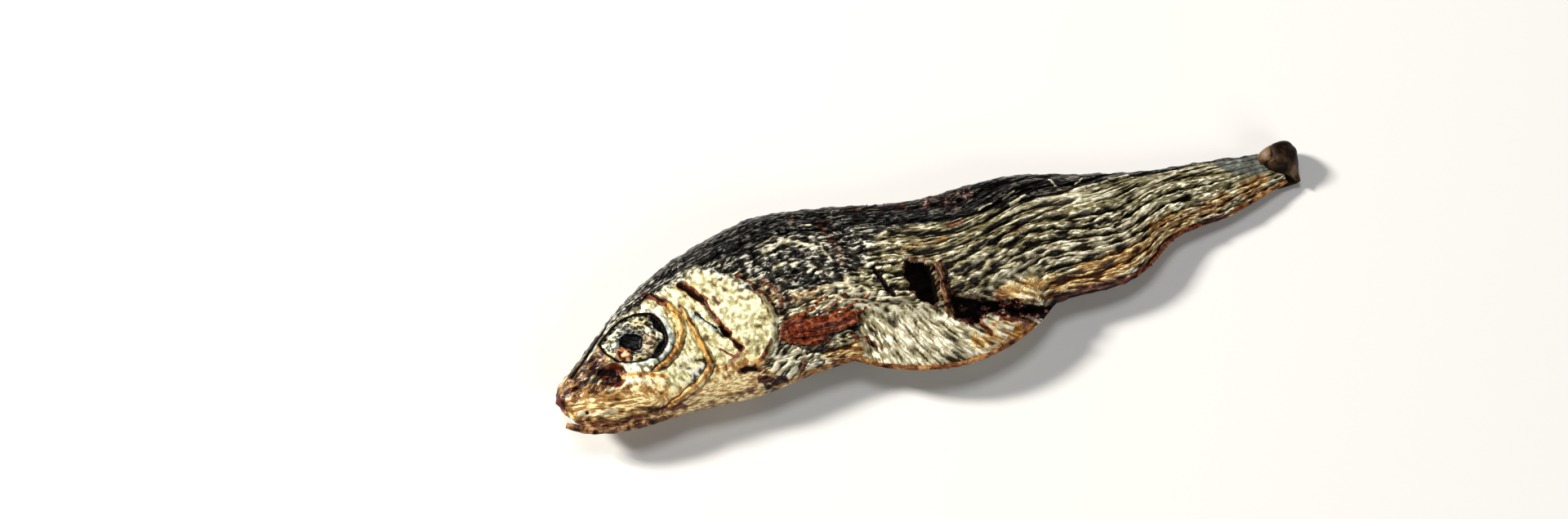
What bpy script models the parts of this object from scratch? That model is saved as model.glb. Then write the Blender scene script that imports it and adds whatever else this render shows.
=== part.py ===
"""A dried sprat, one closed solid, lying on its right flank with the left flank up.

Lengths are in millimetres and are measured from the snout tip: `along` runs towards the tail and
`up` towards the back. The fish is lofted from upright sections, the flanks carry the dried relief,
and the eyes, the rolled-up tail fin and the ragged fin remains are joined on with one union.
"""

import math
from collections import namedtuple

import bpy
import numpy as np
from mathutils import Vector, noise

MM = 0.001

# Driving dimensions
STANDARD_LENGTH = 82.3
HEAD_LENGTH = 24.0
BODY_WIDTH = 7.6
ORIGIN_FROM_SNOUT = (42.1, 0.35)

# Loft density: gap between the rings up to each place, and points around each flank
RING_GAPS = ((25.0, 0.86), (37.0, 1.45), (53.0, 0.95), (STANDARD_LENGTH, 1.9))
UPPER_SIDES = 50
LOWER_SIDES = 20

# Outline sections: share of the standard length, back and belly in mm, share of the half width,
# height of the mid-plane above the table in mm
Section = namedtuple("Section", "share back belly width lift")
SECTIONS = (
    Section(0.004, 0.8, -2.3, 0.24, 4.2),
    Section(0.035, 2.3, -4.9, 0.49, 4.1),
    Section(0.075, 4.7, -5.6, 0.68, 4.0),
    Section(0.120, 7.3, -6.1, 0.86, 3.9),
    Section(0.180, 9.7, -6.4, 0.97, 3.7),
    Section(0.245, 11.2, -7.0, 1.00, 3.65),
    Section(0.320, 12.1, -6.8, 0.93, 3.75),
    Section(0.400, 10.8, -7.0, 0.86, 3.9),
    Section(0.510, 8.3, -7.6, 0.79, 4.0),
    Section(0.655, 7.3, -8.0, 0.68, 3.7),
    Section(0.770, 4.5, -7.7, 0.52, 3.0),
    Section(0.825, 3.4, -5.2, 0.42, 2.5),
    Section(0.910, 2.4, -4.5, 0.33, 1.8),
    Section(1.000, 1.1, -2.9, 0.23, 1.2),
)

# Head relief
EYE_CENTRE = (9.8, 2.0)
ORBIT_RADII = (3.6, 3.2)
ORBIT_DEPTH = 1.1
EYEBALL_RADIUS = 2.7
EYEBALL_FLATTENING = 0.5
EYEBALL_SEAT = 0.95
GILL_COVER_STEP = 0.75
GILL_COVER_EDGE = ((17.6, 8.6), (20.6, 6.0), (23.0, 3.3), (24.1, 0.4), (23.8, -2.0), (20.6, -5.2))
CHEEK_RIDGE = ((15.5, 3.4), (16.0, 0.4), (16.3, -3.2), (13.1, -4.8), (10.6, -5.4))
ORBIT_RIDGE = ((13.6, 6.0), (14.7, 2.8), (13.7, -0.4), (10.6, -1.9))
CHEEK_SLIT = ((16.5, 6.2), (18.2, 1.4), (19.8, -2.8))
CHEEK_HOLLOW = (6.5, -0.6)
MOUTH_LINE = ((-1.0, 0.0), (1.9, -0.5), (4.7, -1.8), (9.6, -3.0))
JAW_CREASE = ((0.6, -2.7), (3.2, -4.1), (6.0, -5.0), (11.0, -5.3))

# Body relief
FOLD_ROWS = 11
FOLD_HEIGHT = 0.42
NECK_CREASE = ((33.2, 11.5), (34.4, 6.0), (34.8, 0.7))
NECK_CREASE_DEPTH = 0.7
FIN_PATCH = ((24.8, -2.0), (29.0, -2.6), (33.6, -2.8))
FLAP_CENTRE = 42.0
FLAP_HALF_LENGTH = 11.0
FLAP_DROP = 3.8
FLAP_BULGE = 0.9
FLAP_FOLD_GAP = 2.8
HOLE = ((40.1, -0.2), (40.2, -3.5))
HOLE_WIDTH = 1.7
HOLE_DEPTH = 2.6
RIB_STRIP = ((42.8, -0.2), (42.3, -3.2), (41.9, -5.8))
SLOT = ((43.4, -5.9), (47.0, -6.9), (51.0, -8.5))
SLOT_WIDTH = 1.35
SLOT_DEPTH = 1.9

# Fins
FIN_THICKNESS = 0.42
RAY_RIDGE = 0.14
RAGGEDNESS = 0.25
ROLL_CENTRE = (82.7, 1.95)
ROLL_RADII = (1.55, 1.2)
ROLL_END = math.radians(118)
ROLL_THICKNESS = 0.6
SEED = 7


def clear_scene():
    """Remove every object, so that the script starts from an empty scene."""
    for obj in list(bpy.data.objects):
        bpy.data.objects.remove(obj, do_unlink=True)


def new_collection(name):
    """Return a new collection linked to the scene."""
    collection = bpy.data.collections.new(name)
    bpy.context.scene.collection.children.link(collection)
    return collection


def new_material(name, colour, roughness, metallic=0.0):
    """Return a Principled material of one colour."""
    material = bpy.data.materials.new(name)
    material.use_nodes = True
    shader = material.node_tree.nodes["Principled BSDF"]
    shader.inputs["Base Color"].default_value = (*colour, 1.0)
    shader.inputs["Roughness"].default_value = roughness
    shader.inputs["Metallic"].default_value = metallic
    return material


def smoothstep(low, high, value):
    """Rise smoothly from 0 at low to 1 at high."""
    t = np.clip((value - low) / (high - low), 0.0, 1.0)
    return t * t * (3.0 - 2.0 * t)


def mound(distance, radius):
    """A smooth mound: 1 at no distance, 0 from the radius outwards."""
    t = np.clip(distance / radius, 0.0, 1.0)
    return (1.0 - t * t) ** 2


def through_points(known, values, wanted):
    """Smooth curve through the values known at rising places, read at the wanted places."""
    known = np.asarray(known, float)
    values = np.asarray(values, float)
    slope = np.gradient(values, known)
    index = np.clip(np.searchsorted(known, wanted) - 1, 0, len(known) - 2)
    gap = known[index + 1] - known[index]
    t = np.clip((wanted - known[index]) / gap, 0.0, 1.0)
    rise = t * t * (3.0 - 2.0 * t)
    leave = t * (1.0 - t) ** 2
    arrive = t * t * (t - 1.0)
    steady = values[index] * (1.0 - rise) + values[index + 1] * rise
    return steady + gap * (slope[index] * leave + slope[index + 1] * arrive)


def distance_to_line(along, up, points):
    """Distance of each point of the flank from a line drawn on it."""
    nearest = np.full(np.shape(along), np.inf)
    for (x0, y0), (x1, y1) in zip(points, points[1:]):
        run, rise = x1 - x0, y1 - y0
        share = ((along - x0) * run + (up - y0) * rise) / (run * run + rise * rise)
        share = np.clip(share, 0.0, 1.0)
        nearest = np.minimum(nearest, np.hypot(along - x0 - share * run, up - y0 - share * rise))
    return nearest


def slow_noise(along, up, reach_along, reach_up, layer):
    """Gradient noise on the flank, with its own reach along and across the fish."""
    flat = zip(np.ravel(along), np.ravel(up))
    values = [noise.noise(Vector((a / reach_along, b / reach_up, layer))) for a, b in flat]
    return np.reshape(values, np.shape(along))


def flap_share(along):
    """How far the torn belly wall hangs out below the belly line, from 0 to 1."""
    t = np.clip((along - FLAP_CENTRE) / FLAP_HALF_LENGTH, -1.0, 1.0)
    return (1.0 - t * t) ** 0.9


def outline(along):
    """Back, belly, half width and mid-plane height of the fish at each place."""
    known = [section.share * STANDARD_LENGTH for section in SECTIONS]

    def read(field):
        return through_points(known, [getattr(section, field) for section in SECTIONS], along)

    belly = read("belly") - FLAP_DROP * flap_share(along)
    return read("back"), belly, read("width") * BODY_WIDTH / 2, read("lift")


def section_fullness(along, level):
    """Share of the half width at each level, from -1 at the belly to 1 at the back."""
    head = 1.0 - smoothstep(0.8 * HEAD_LENGTH, 1.3 * HEAD_LENGTH, along)
    rounding = 0.62 - 0.12 * head
    full = (1.0 - np.abs(level) ** (2.1 + 0.7 * head)) ** rounding
    thin_belly = 0.18 + 0.37 * flap_share(along)
    return full * (1.0 - thin_belly * smoothstep(0.1, -1.0, level))


def gill_cover_share(along, up):
    """1 on the head and the gill cover, 0 behind the cover's free edge."""
    edge_up = [point[1] for point in reversed(GILL_COVER_EDGE)]
    edge_along = [point[0] for point in reversed(GILL_COVER_EDGE)]
    edge = np.interp(up, edge_up, edge_along)
    return smoothstep(0.45, -0.45, along - edge)


def orbit_distance(along, up):
    """Distance from the eye's centre as a share of the orbit's rim."""
    run, rise = along - EYE_CENTRE[0], up - EYE_CENTRE[1]
    return np.hypot(run / ORBIT_RADII[0], rise / ORBIT_RADII[1])


def head_relief(along, up):
    """Gill cover, orbit, ridges, slit and hollow of the cheek, mouth and jaw of one side."""
    relief = GILL_COVER_STEP * gill_cover_share(along, up) * smoothstep(14.0, 20.0, along)
    orbit = orbit_distance(along, up)
    relief = relief - ORBIT_DEPTH * smoothstep(1.0, 0.72, orbit)
    relief = relief + 0.3 * mound(np.abs(orbit - 1.12), 0.2)
    relief = relief + 0.6 * mound(distance_to_line(along, up, CHEEK_RIDGE), 0.95)
    relief = relief + 0.4 * mound(distance_to_line(along, up, ORBIT_RIDGE), 0.9)
    hollow = np.hypot(along - CHEEK_HOLLOW[0], up - CHEEK_HOLLOW[1])
    relief = relief - 0.7 * mound(hollow, 1.6)
    relief = relief - 0.8 * mound(distance_to_line(along, up, CHEEK_SLIT), 0.9)
    relief = relief - 0.9 * mound(distance_to_line(along, up, MOUTH_LINE), 1.0)
    return relief - 0.45 * mound(distance_to_line(along, up, JAW_CREASE), 0.9)


def skin_folds(along, up, level, side):
    """Lengthwise folds of the dried skin, which merge towards the tail."""
    drift = slow_noise(along, level * 9.0, 11.0, 5.0, 3.1 * side)
    rows = FOLD_ROWS * (0.5 + 0.5 * level) * (1.0 - 0.25 * smoothstep(45.0, 80.0, along))
    ridge = np.abs(np.sin(math.pi * (rows + 0.9 * drift))) ** 0.7
    slant = np.abs(np.sin(math.pi * (along + 0.65 * up) / FLAP_FOLD_GAP)) ** 0.7
    on_flap = flap_share(along) * smoothstep(-0.25, -0.6, level)
    folds = ridge * (1.0 - on_flap) + slant * on_flap
    behind_head = smoothstep(HEAD_LENGTH, HEAD_LENGTH + 5.0, along)
    return FOLD_HEIGHT * behind_head * (folds - 0.6)


def torn_belly(along, up):
    """Hole, rib strip and slot of the left flank, where the belly wall has split."""
    hole = mound(distance_to_line(along, up, HOLE), HOLE_WIDTH)
    strip = mound(distance_to_line(along, up, RIB_STRIP), 0.95)
    slot_reach = smoothstep(SLOT[0][0], SLOT[1][0], along)
    slot = mound(distance_to_line(along, up, SLOT), SLOT_WIDTH) * (0.5 + 0.5 * slot_reach)
    return 0.5 * strip - HOLE_DEPTH * hole ** 0.7 - SLOT_DEPTH * slot ** 0.7


def flank_relief(along, up, level, side):
    """Everything that stands proud of, or is sunk into, one flank."""
    relief = head_relief(along, up) + skin_folds(along, up, level, side)
    relief = relief - NECK_CREASE_DEPTH * mound(distance_to_line(along, up, NECK_CREASE), 1.3)
    relief = relief + 0.45 * mound(distance_to_line(along, up, FIN_PATCH), 1.7)
    if side > 0:
        flap = flap_share(along) * smoothstep(-0.2, -0.8, level)
        relief = relief + torn_belly(along, up) + FLAP_BULGE * flap
    fade = (1.0 - np.abs(level) ** 9) * smoothstep(-0.5, 2.0, along)
    return relief * fade


def ring_places():
    """Places of the loft's rings, closest on the head and around the torn belly."""
    places = [SECTIONS[0].share * STANDARD_LENGTH]
    for end, gap in RING_GAPS:
        count = math.ceil((end - places[-1]) / gap)
        places.extend(np.linspace(places[-1], end, count + 1)[1:])
    return np.array(places)


def levels(count):
    """Levels from the belly to the back, closer together at the two edges."""
    share = np.linspace(0.0, 1.0, count + 1)
    return 0.45 * (2.0 * share - 1.0) - 0.55 * np.cos(math.pi * share)


def flank_grid(places, side, sides):
    """Points of one flank, one row for each ring, from the belly to the back."""
    along, level = np.meshgrid(places, levels(sides), indexing="ij")
    back, belly, half_width, lift = outline(along)
    up = (back + belly) / 2 + level * (back - belly) / 2
    out = half_width * section_fullness(along, level)
    out = out + flank_relief(along, up, level, side)
    height = np.maximum(lift + side * out, 0.0)
    edge = np.abs(level) > 0.999
    height = np.where(edge, lift, height)
    return np.stack([along, up, height], axis=-1)


def to_world(point):
    """Turn a point measured from the snout tip, in mm, into the object's frame in metres."""
    along, up, height = point
    return Vector((along - ORIGIN_FROM_SNOUT[0], up - ORIGIN_FROM_SNOUT[1], height)) * MM


def mesh_object(name, points, faces, material, collection):
    """Make a mesh object from points in mm and faces."""
    mesh = bpy.data.meshes.new(name)
    mesh.from_pydata([to_world(point) for point in points], [], faces)
    mesh.materials.append(material)
    mesh.shade_smooth()
    mesh.set_sharp_from_angle(angle=math.radians(50))
    obj = bpy.data.objects.new(name, mesh)
    collection.objects.link(obj)
    return obj


def make_body(material, collection):
    """Loft the fish from snout to tail root, with both flanks' relief in it."""
    places = ring_places()
    left = flank_grid(places, 1.0, UPPER_SIDES)
    right = flank_grid(places, -1.0, LOWER_SIDES)
    rings = np.concatenate([left, right[:, -2:0:-1]], axis=1)
    count, sides = rings.shape[:2]
    points = [tuple(point) for point in rings.reshape(-1, 3)]
    faces = []
    for ring in range(count - 1):
        for side in range(sides):
            after = (side + 1) % sides
            low, high = ring * sides, (ring + 1) * sides
            faces.append((low + side, high + side, high + after, low + after))
    snout, tail = len(points), len(points) + 1
    points.append(tuple(rings[0].mean(axis=0) - (0.35, 0.0, 0.0)))
    points.append(tuple(rings[-1].mean(axis=0) + (0.3, 0.0, 0.0)))
    last = (count - 1) * sides
    for side in range(sides):
        after = (side + 1) % sides
        faces.append((snout, side, after))
        faces.append((tail, last + after, last + side))
    return mesh_object("dried_sprat", points, faces, material, collection)


def make_eye(name, side, material, collection):
    """A shrunken eyeball, flattened sideways and seated in its orbit."""
    _, _, half_width, lift = outline(np.array([EYE_CENTRE[0]]))
    height = float(lift[0] + side * (half_width[0] - ORBIT_DEPTH - EYEBALL_SEAT + 0.35))
    bpy.ops.mesh.primitive_uv_sphere_add(
        segments=20, ring_count=10, radius=EYEBALL_RADIUS * MM,
        location=to_world((EYE_CENTRE[0] - 0.2, EYE_CENTRE[1] - 0.1, height)),
    )
    eye = bpy.context.active_object
    eye.name = name
    eye.scale = (1.0, 0.86, EYEBALL_FLATTENING)
    bpy.ops.object.transform_apply(location=False, rotation=True, scale=True)
    eye.data.materials.append(material)
    for other in list(eye.users_collection):
        other.objects.unlink(eye)
    collection.objects.link(eye)
    return eye


def plate_object(name, middle, half, material, collection):
    """A closed plate of the given half thickness around a grid of middle points."""
    columns, rows = middle.shape[:2]
    upper, lower = middle.copy(), middle.copy()
    upper[..., 2] += half
    lower[..., 2] -= half
    points = np.concatenate([upper.reshape(-1, 3), lower.reshape(-1, 3)])
    points[:, 2] = np.maximum(points[:, 2], 0.02)
    faces = plate_faces(columns, rows)
    return mesh_object(name, [tuple(point) for point in points], faces, material, collection)


def make_fin(name, root, tip, rays, wave, material, collection):
    """A thin wavy fin between a root line and a ragged tip line, ridged along its rays.

    root and tip are lists of points in mm, read at even shares.
    """
    random = np.random.default_rng(SEED + rays)
    share = np.linspace(0.0, 1.0, 2 * rays + 1)
    roots = np.stack([np.interp(share, np.linspace(0, 1, len(root)), axis) for axis in zip(*root)], 1)
    tips = np.stack([np.interp(share, np.linspace(0, 1, len(tip)), axis) for axis in zip(*tip)], 1)
    tips = tips - (tips - roots) * random.uniform(0.0, RAGGEDNESS, (len(share), 1))
    reach = np.linspace(0.0, 1.0, 4)
    middle = roots[:, None] + (tips - roots)[:, None] * reach[None, :, None]
    middle[..., 2] += wave * np.sin(share * math.pi * rays * 0.5)[:, None] * reach
    ray = (np.arange(len(share)) % 2)[:, None] * RAY_RIDGE
    half = (FIN_THICKNESS / 2 + ray) * (1.0 - 0.35 * reach)
    return plate_object(name, middle, half, material, collection)


def make_tail_roll(material, collection):
    """The tail fin, dried into a roll whose ragged free edge lies above the tail's root."""
    random = np.random.default_rng(SEED)
    across = np.linspace(0.0, 1.0, 9)[:, None]
    turn = np.linspace(-math.pi / 2, ROLL_END, 13)[None, :]
    wound = (turn + math.pi / 2) / (ROLL_END + math.pi / 2)
    turn = turn - wound * 0.25 * random.uniform(0.0, 1.0, across.shape)
    radius = ROLL_RADII[0] + (ROLL_RADII[1] - ROLL_RADII[0]) * wound
    rounding = 1.0 - 0.35 * np.abs(2.0 * across - 1.0) ** 3
    ridge = 1.0 + 0.05 * np.sin(across * 7.0 * math.pi)
    bottom = -2.7 - 0.7 * np.sin(wound * math.pi)
    top = 0.7 + 1.0 * np.sin(wound * math.pi)
    along = ROLL_CENTRE[0] + radius * np.cos(turn) * rounding * ridge
    up = bottom + (top - bottom) * across
    height = ROLL_CENTRE[1] + radius * np.sin(turn) * ridge
    centre = np.stack([along, up, height], axis=-1)
    outward = np.stack([np.cos(turn), np.zeros_like(turn), np.sin(turn)], axis=-1)
    root = centre[:, :1] + np.array([-2.2, 0.0, 0.25])
    centre = np.concatenate([root, centre], axis=1)
    outward = np.concatenate([outward[:, :1], outward], axis=1)
    inner = centre - outward * ROLL_THICKNESS / 2
    outer = centre + outward * ROLL_THICKNESS / 2
    points = np.concatenate([inner.reshape(-1, 3), outer.reshape(-1, 3)])
    points[:, 2] = np.maximum(points[:, 2], 0.02)
    faces = plate_faces(*centre.shape[:2])
    return mesh_object("tail_roll", [tuple(point) for point in points], faces, material, collection)


def plate_faces(columns, rows):
    """Triangles of a closed plate whose two faces are grids of columns by rows."""
    below = columns * rows
    faces = []

    def add_quad(a, b, c, d):
        faces.extend([(a, b, c), (a, c, d)])

    for column in range(columns - 1):
        for row in range(rows - 1):
            a = column * rows + row
            b, c, d = a + rows, a + rows + 1, a + 1
            add_quad(a, b, c, d)
            faces.extend([(a + below, c + below, b + below), (a + below, d + below, c + below)])
    rim = [column * rows for column in range(columns)]
    rim += [(columns - 1) * rows + row for row in range(1, rows)]
    rim += [column * rows + rows - 1 for column in range(columns - 2, -1, -1)]
    rim += [row for row in range(rows - 2, 0, -1)]
    for start, end in zip(rim, rim[1:] + rim[:1]):
        add_quad(start, start + below, end + below, end)
    return faces


def make_fins(material, collection):
    """The rolled tail fin and the dried remains of the dorsal fin, anal fin and throat skin."""
    return [
        make_tail_roll(material, collection),
        make_fin(
            "dorsal_fin",
            [(41.4, 7.2, 4.1), (51.0, 6.6, 3.9)],
            [(43.0, 8.7, 4.3), (48.0, 8.7, 4.4), (52.6, 8.0, 4.1)],
            6, 0.2, material, collection,
        ),
        make_fin(
            "anal_fin",
            [(64.6, -4.6, 2.9), (78.0, -2.2, 1.7)],
            [(66.4, -6.8, 2.8), (72.4, -5.8, 2.3), (79.6, -3.7, 1.6)],
            7, 0.15, material, collection,
        ),
        make_fin(
            "throat_skin",
            [(0.8, -2.6, 3.8), (5.4, -4.6, 3.6)],
            [(0.1, -4.2, 3.5), (2.0, -5.9, 3.2), (5.8, -6.4, 3.1)],
            4, 0.2, material, collection,
        ),
    ]


def join_all(body, extras):
    """Join the extras to the body with one Boolean union and leave the body alone."""
    joined = new_collection("joined_to_body")
    for extra in extras:
        for other in list(extra.users_collection):
            other.objects.unlink(extra)
        joined.objects.link(extra)
    union = body.modifiers.new("union", "BOOLEAN")
    union.operation = "UNION"
    union.solver = "EXACT"
    union.operand_type = "COLLECTION"
    union.collection = joined
    bpy.context.view_layer.objects.active = body
    bpy.ops.object.modifier_apply(modifier=union.name)
    for extra in extras:
        bpy.data.objects.remove(extra, do_unlink=True)
    bpy.data.collections.remove(joined)


def main():
    """Build the dried sprat as one object."""
    clear_scene()
    fish = new_collection("dried_sprat")
    skin = new_material("dried_skin", (0.42, 0.36, 0.20), 0.42, 0.25)
    eye = new_material("dried_eye", (0.05, 0.045, 0.035), 0.22)
    fin = new_material("dried_fin", (0.32, 0.16, 0.06), 0.5)
    body = make_body(skin, fish)
    eyes = [make_eye("left_eye", 1.0, eye, fish), make_eye("right_eye", -1.0, eye, fish)]
    join_all(body, eyes + make_fins(fin, fish))


main()
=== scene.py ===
"""Visual model of a dried sprat, built on the frame of its solid.

The skin is two fine lofts, head and body, that carry the bones, folds and tears of the dried fish,
with masks on their points for the finish. The eyes, the fin rays, the rolled tail fin, the fin
stubs, the rib strip, the belly rim, the edge of the lower jaw, the crumbs and the clots are pieces
of their own. Lengths are in millimetres: `along` runs from the snout tip towards the tail and `up`
from the belly towards the back, as in the solid.
"""

from __future__ import annotations

import logging
import math
from dataclasses import dataclass, field
from enum import Enum, IntEnum
from functools import cache

import bpy
import numpy as np
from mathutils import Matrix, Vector, noise

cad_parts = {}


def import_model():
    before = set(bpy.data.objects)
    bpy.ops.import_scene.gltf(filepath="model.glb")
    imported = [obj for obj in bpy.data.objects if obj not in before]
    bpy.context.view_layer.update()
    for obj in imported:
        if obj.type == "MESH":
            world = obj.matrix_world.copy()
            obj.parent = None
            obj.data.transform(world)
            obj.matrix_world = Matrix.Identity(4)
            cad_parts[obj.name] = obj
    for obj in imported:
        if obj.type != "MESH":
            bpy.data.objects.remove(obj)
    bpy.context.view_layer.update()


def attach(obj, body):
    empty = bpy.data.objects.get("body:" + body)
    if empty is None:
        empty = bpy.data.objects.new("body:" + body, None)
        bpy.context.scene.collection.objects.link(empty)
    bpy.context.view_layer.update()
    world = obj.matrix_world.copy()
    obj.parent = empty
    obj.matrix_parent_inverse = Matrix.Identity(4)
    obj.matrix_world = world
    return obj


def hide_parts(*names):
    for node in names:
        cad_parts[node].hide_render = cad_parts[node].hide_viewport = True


LOG = logging.getLogger("dried_sprat")
MM = 0.001
NODE = "dried_sprat"
BODY = "root"
SEED = 7

Points = tuple[tuple[float, float], ...]
Colour = tuple[float, float, float]
Array = np.ndarray
Masks = dict[str, np.ndarray]
Faces = list[tuple[int, ...]]
Piece = bpy.types.Object
Material = bpy.types.Material
Tree = bpy.types.NodeTree
Node = bpy.types.Node
Socket = bpy.types.NodeSocket


class Side(Enum):
    """The two flanks: the left one is shown, the right one is lain on."""

    LEFT = 1.0
    RIGHT = -1.0


class Part(Enum):
    """The two parts of the skin, which meet under the gill covers' free edges."""

    HEAD = "head"
    BODY = "body"


def ramp(low: float, high: float, value: Array) -> Array:
    """Rise smoothly from 0 at low to 1 at high, or fall where low is the larger."""
    t = np.clip((value - low) / (high - low), 0.0, 1.0)
    return t * t * (3.0 - 2.0 * t)


def mound(distance: Array, radius: float | Array) -> Array:
    """A smooth mound: 1 at no distance, 0 from the radius outwards."""
    t = np.clip(distance / radius, 0.0, 1.0)
    return (1.0 - t * t) ** 2


def through_points(known: Array, values: Array, wanted: Array) -> Array:
    """Smooth curve through values known at rising places.

    Args:
        known: The places, in rising order.
        values: The value at each place.
        wanted: The places to read the curve at.

    Returns:
        The curve's value at each wanted place.
    """
    slope = np.gradient(values, known)
    index = np.clip(np.searchsorted(known, wanted) - 1, 0, len(known) - 2)
    gap = known[index + 1] - known[index]
    t = np.clip((wanted - known[index]) / gap, 0.0, 1.0)
    rise = t * t * (3.0 - 2.0 * t)
    leave = t * (1.0 - t) ** 2
    arrive = t * t * (t - 1.0)
    steady = values[index] * (1.0 - rise) + values[index + 1] * rise
    return steady + gap * (slope[index] * leave + slope[index + 1] * arrive)


def line_lengths(corners: Array) -> Array:
    """Length of a line up to each of its corners."""
    return np.concatenate([[0.0], np.cumsum(np.hypot(*np.diff(corners, axis=0).T))])


@cache
def rounded(points: Points) -> Array:
    """Round off the bends of a line.

    Args:
        points: The line's corners.

    Returns:
        The corners of the rounded line.
    """
    corners = np.array(points, float)
    if len(corners) < 3:
        return corners
    places = line_lengths(corners)
    wanted = np.linspace(0.0, places[-1], 5 * (len(corners) - 1) + 1)
    return np.stack([through_points(places, corners[:, k], wanted) for k in (0, 1)], axis=1)


def line_reach(along: Array, up: Array, points: Points) -> tuple[Array, Array]:
    """Distance from a line drawn on the flank, and how far along the line the nearest point is.

    Args:
        along: Places of the points.
        up: Heights of the points on the flank.
        points: Corners of the line.

    Returns:
        The distance in mm and the share of the line, from 0 to 1.
    """
    corners = rounded(points)
    lengths = np.hypot(*np.diff(corners, axis=0).T)
    starts = np.concatenate([[0.0], np.cumsum(lengths)])
    nearest = np.full(np.shape(along), np.inf)
    reached = np.zeros(np.shape(along))
    for index, length in enumerate(lengths):
        (x0, y0), (x1, y1) = corners[index], corners[index + 1]
        share = ((along - x0) * (x1 - x0) + (up - y0) * (y1 - y0)) / length**2
        share = np.clip(share, 0.0, 1.0)
        distance = np.hypot(along - x0 - share * (x1 - x0), up - y0 - share * (y1 - y0))
        closer = distance < nearest
        nearest = np.where(closer, distance, nearest)
        reached = np.where(closer, starts[index] + share * length, reached)
    return nearest, reached / starts[-1]


def area_reach(along: Array, up: Array, corners: Points) -> Array:
    """Distance in mm outside an area drawn on the flank, negative within it.

    Args:
        along: Places of the points.
        up: Heights of the points on the flank.
        corners: Corners of the area, in order.

    Returns:
        The distance from the area's edge.
    """
    loop = corners + corners[:1]
    distance, _ = line_reach(along, up, loop)
    inside = np.zeros(np.shape(along), bool)
    edge = rounded(loop)
    for (x0, y0), (x1, y1) in zip(edge[:-1], edge[1:]):
        if y1 != y0:
            crossed = x0 + (up - y0) * (x1 - x0) / (y1 - y0)
            inside ^= ((y0 > up) != (y1 > up)) & (along < crossed)
    return np.where(inside, -distance, distance)


class Pattern(IntEnum):
    """Layers of the seeded noise, so that each detail has a pattern of its own."""

    BEND, FINE_BEND, HEAD_FLOW, NARROW = 4, 5, 5, 5
    RIDGE_WIDTH, MARK_WIDTH = 7, 8
    JAW, BONES, CROWN, GLINT, CHEEK, SNOUT, THROAT = 12, 15, 18, 19, 22, 28, 33
    FLANK = 21
    TEAR, FINE_TEAR = 31, 32
    STROKE_WAVE, STROKE_RIPPLE = 40, 43
    FOLD_WAVE, FOLD_BREAK, FOLD_GLINT = 50, 60, 70
    FLAP_EDGE, FLAP_SPREAD = 57, 58
    EYE_EDGE, EYE_CELLS = 60, 61
    TAIL_END, TAIL_CRUMPLE, TAIL_RIPPLE = 70, 74, 76
    STRIP_BEND, STRIP_WIDTH, STRIP_SWELL, STRIP_RIPPLE = 80, 81, 83, 84
    STRAND = 90


class Grain:
    """Seeded gradient noise on arrays, for the relief that is finer than the solid's."""

    def __init__(self, seed: int) -> None:
        """Shuffle the lattice and draw its gradients.

        Args:
            seed: The seed of the draws.
        """
        random = np.random.default_rng(seed)
        self.table = np.tile(random.permutation(256), 3)
        gradients = random.normal(size=(256, 3))
        self.gradients = gradients / np.linalg.norm(gradients, axis=1, keepdims=True)

    def value(self, x: Array, y: Array, z: Array | float) -> Array:
        """Noise with cells of one unit.

        Args:
            x: Places along the first axis.
            y: Places along the second.
            z: Places along the third, or one layer of the noise.

        Returns:
            The noise, from about -1 to 1.
        """
        x, y, z = np.broadcast_arrays(x, y, z)
        cell = [np.floor(axis).astype(int) for axis in (x, y, z)]
        inside = [axis - low for axis, low in zip((x, y, z), cell)]
        fade = [t * t * t * (t * (t * 6.0 - 15.0) + 10.0) for t in inside]
        total = np.zeros(x.shape)
        for corner in range(8):
            step = (corner & 1, corner >> 1 & 1, corner >> 2)
            first = self.table[(cell[0] + step[0]) & 255]
            second = self.table[(first + cell[1] + step[1]) & 255]
            gradient = self.gradients[self.table[(second + cell[2] + step[2]) & 255]]
            dot = sum(gradient[..., k] * (inside[k] - step[k]) for k in range(3))
            weight = 1.0
            for k in range(3):
                weight = weight * (fade[k] if step[k] else 1.0 - fade[k])
            total = total + dot * weight
        return 1.7 * total


@dataclass(frozen=True)
class Mark:
    """A stroke of colour: its line on the flank, its half width in mm and how strong it is."""

    line: Points
    width: float
    strength: float = 1.0
    side: Side | None = None


@dataclass(frozen=True)
class Patch:
    """An area of colour on the flank, by its corners, with an edge as soft as given in mm."""

    mask: str
    corners: Points
    soft: float
    strength: float = 1.0
    side: Side | None = None


FIN_WEB: Points = (
    (24.4, -1.5), (26.2, -1.2), (27.6, -1.3), (28.6, -2.1), (30.2, -2.3), (32.4, -2.8),
    (32.6, -3.6), (30.0, -3.7), (28.6, -4.3), (27.1, -4.6), (25.1, -3.3), (24.0, -2.7),
)
BELLY_CAVITY: Points = (
    (42.5, -3.9), (45.1, -5.4), (48.4, -6.5), (51.4, -7.8), (52.8, -8.2), (51.7, -9.4),
    (50.4, -9.1), (49.4, -8.7), (47.5, -8.2), (45.6, -7.4), (44.1, -8.0), (41.9, -6.4),
)
BELLY_HOLE: Points = (
    (39.2, 1.1), (41.5, -0.2), (41.6, -2.6), (41.0, -4.6), (39.0, -3.1), (38.6, -1.3),
)
CHEEK_HOLLOW: Points = ((4.9, 0.5), (6.8, 0.6), (7.9, -0.9), (6.9, -2.0), (5.3, -0.9))


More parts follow.
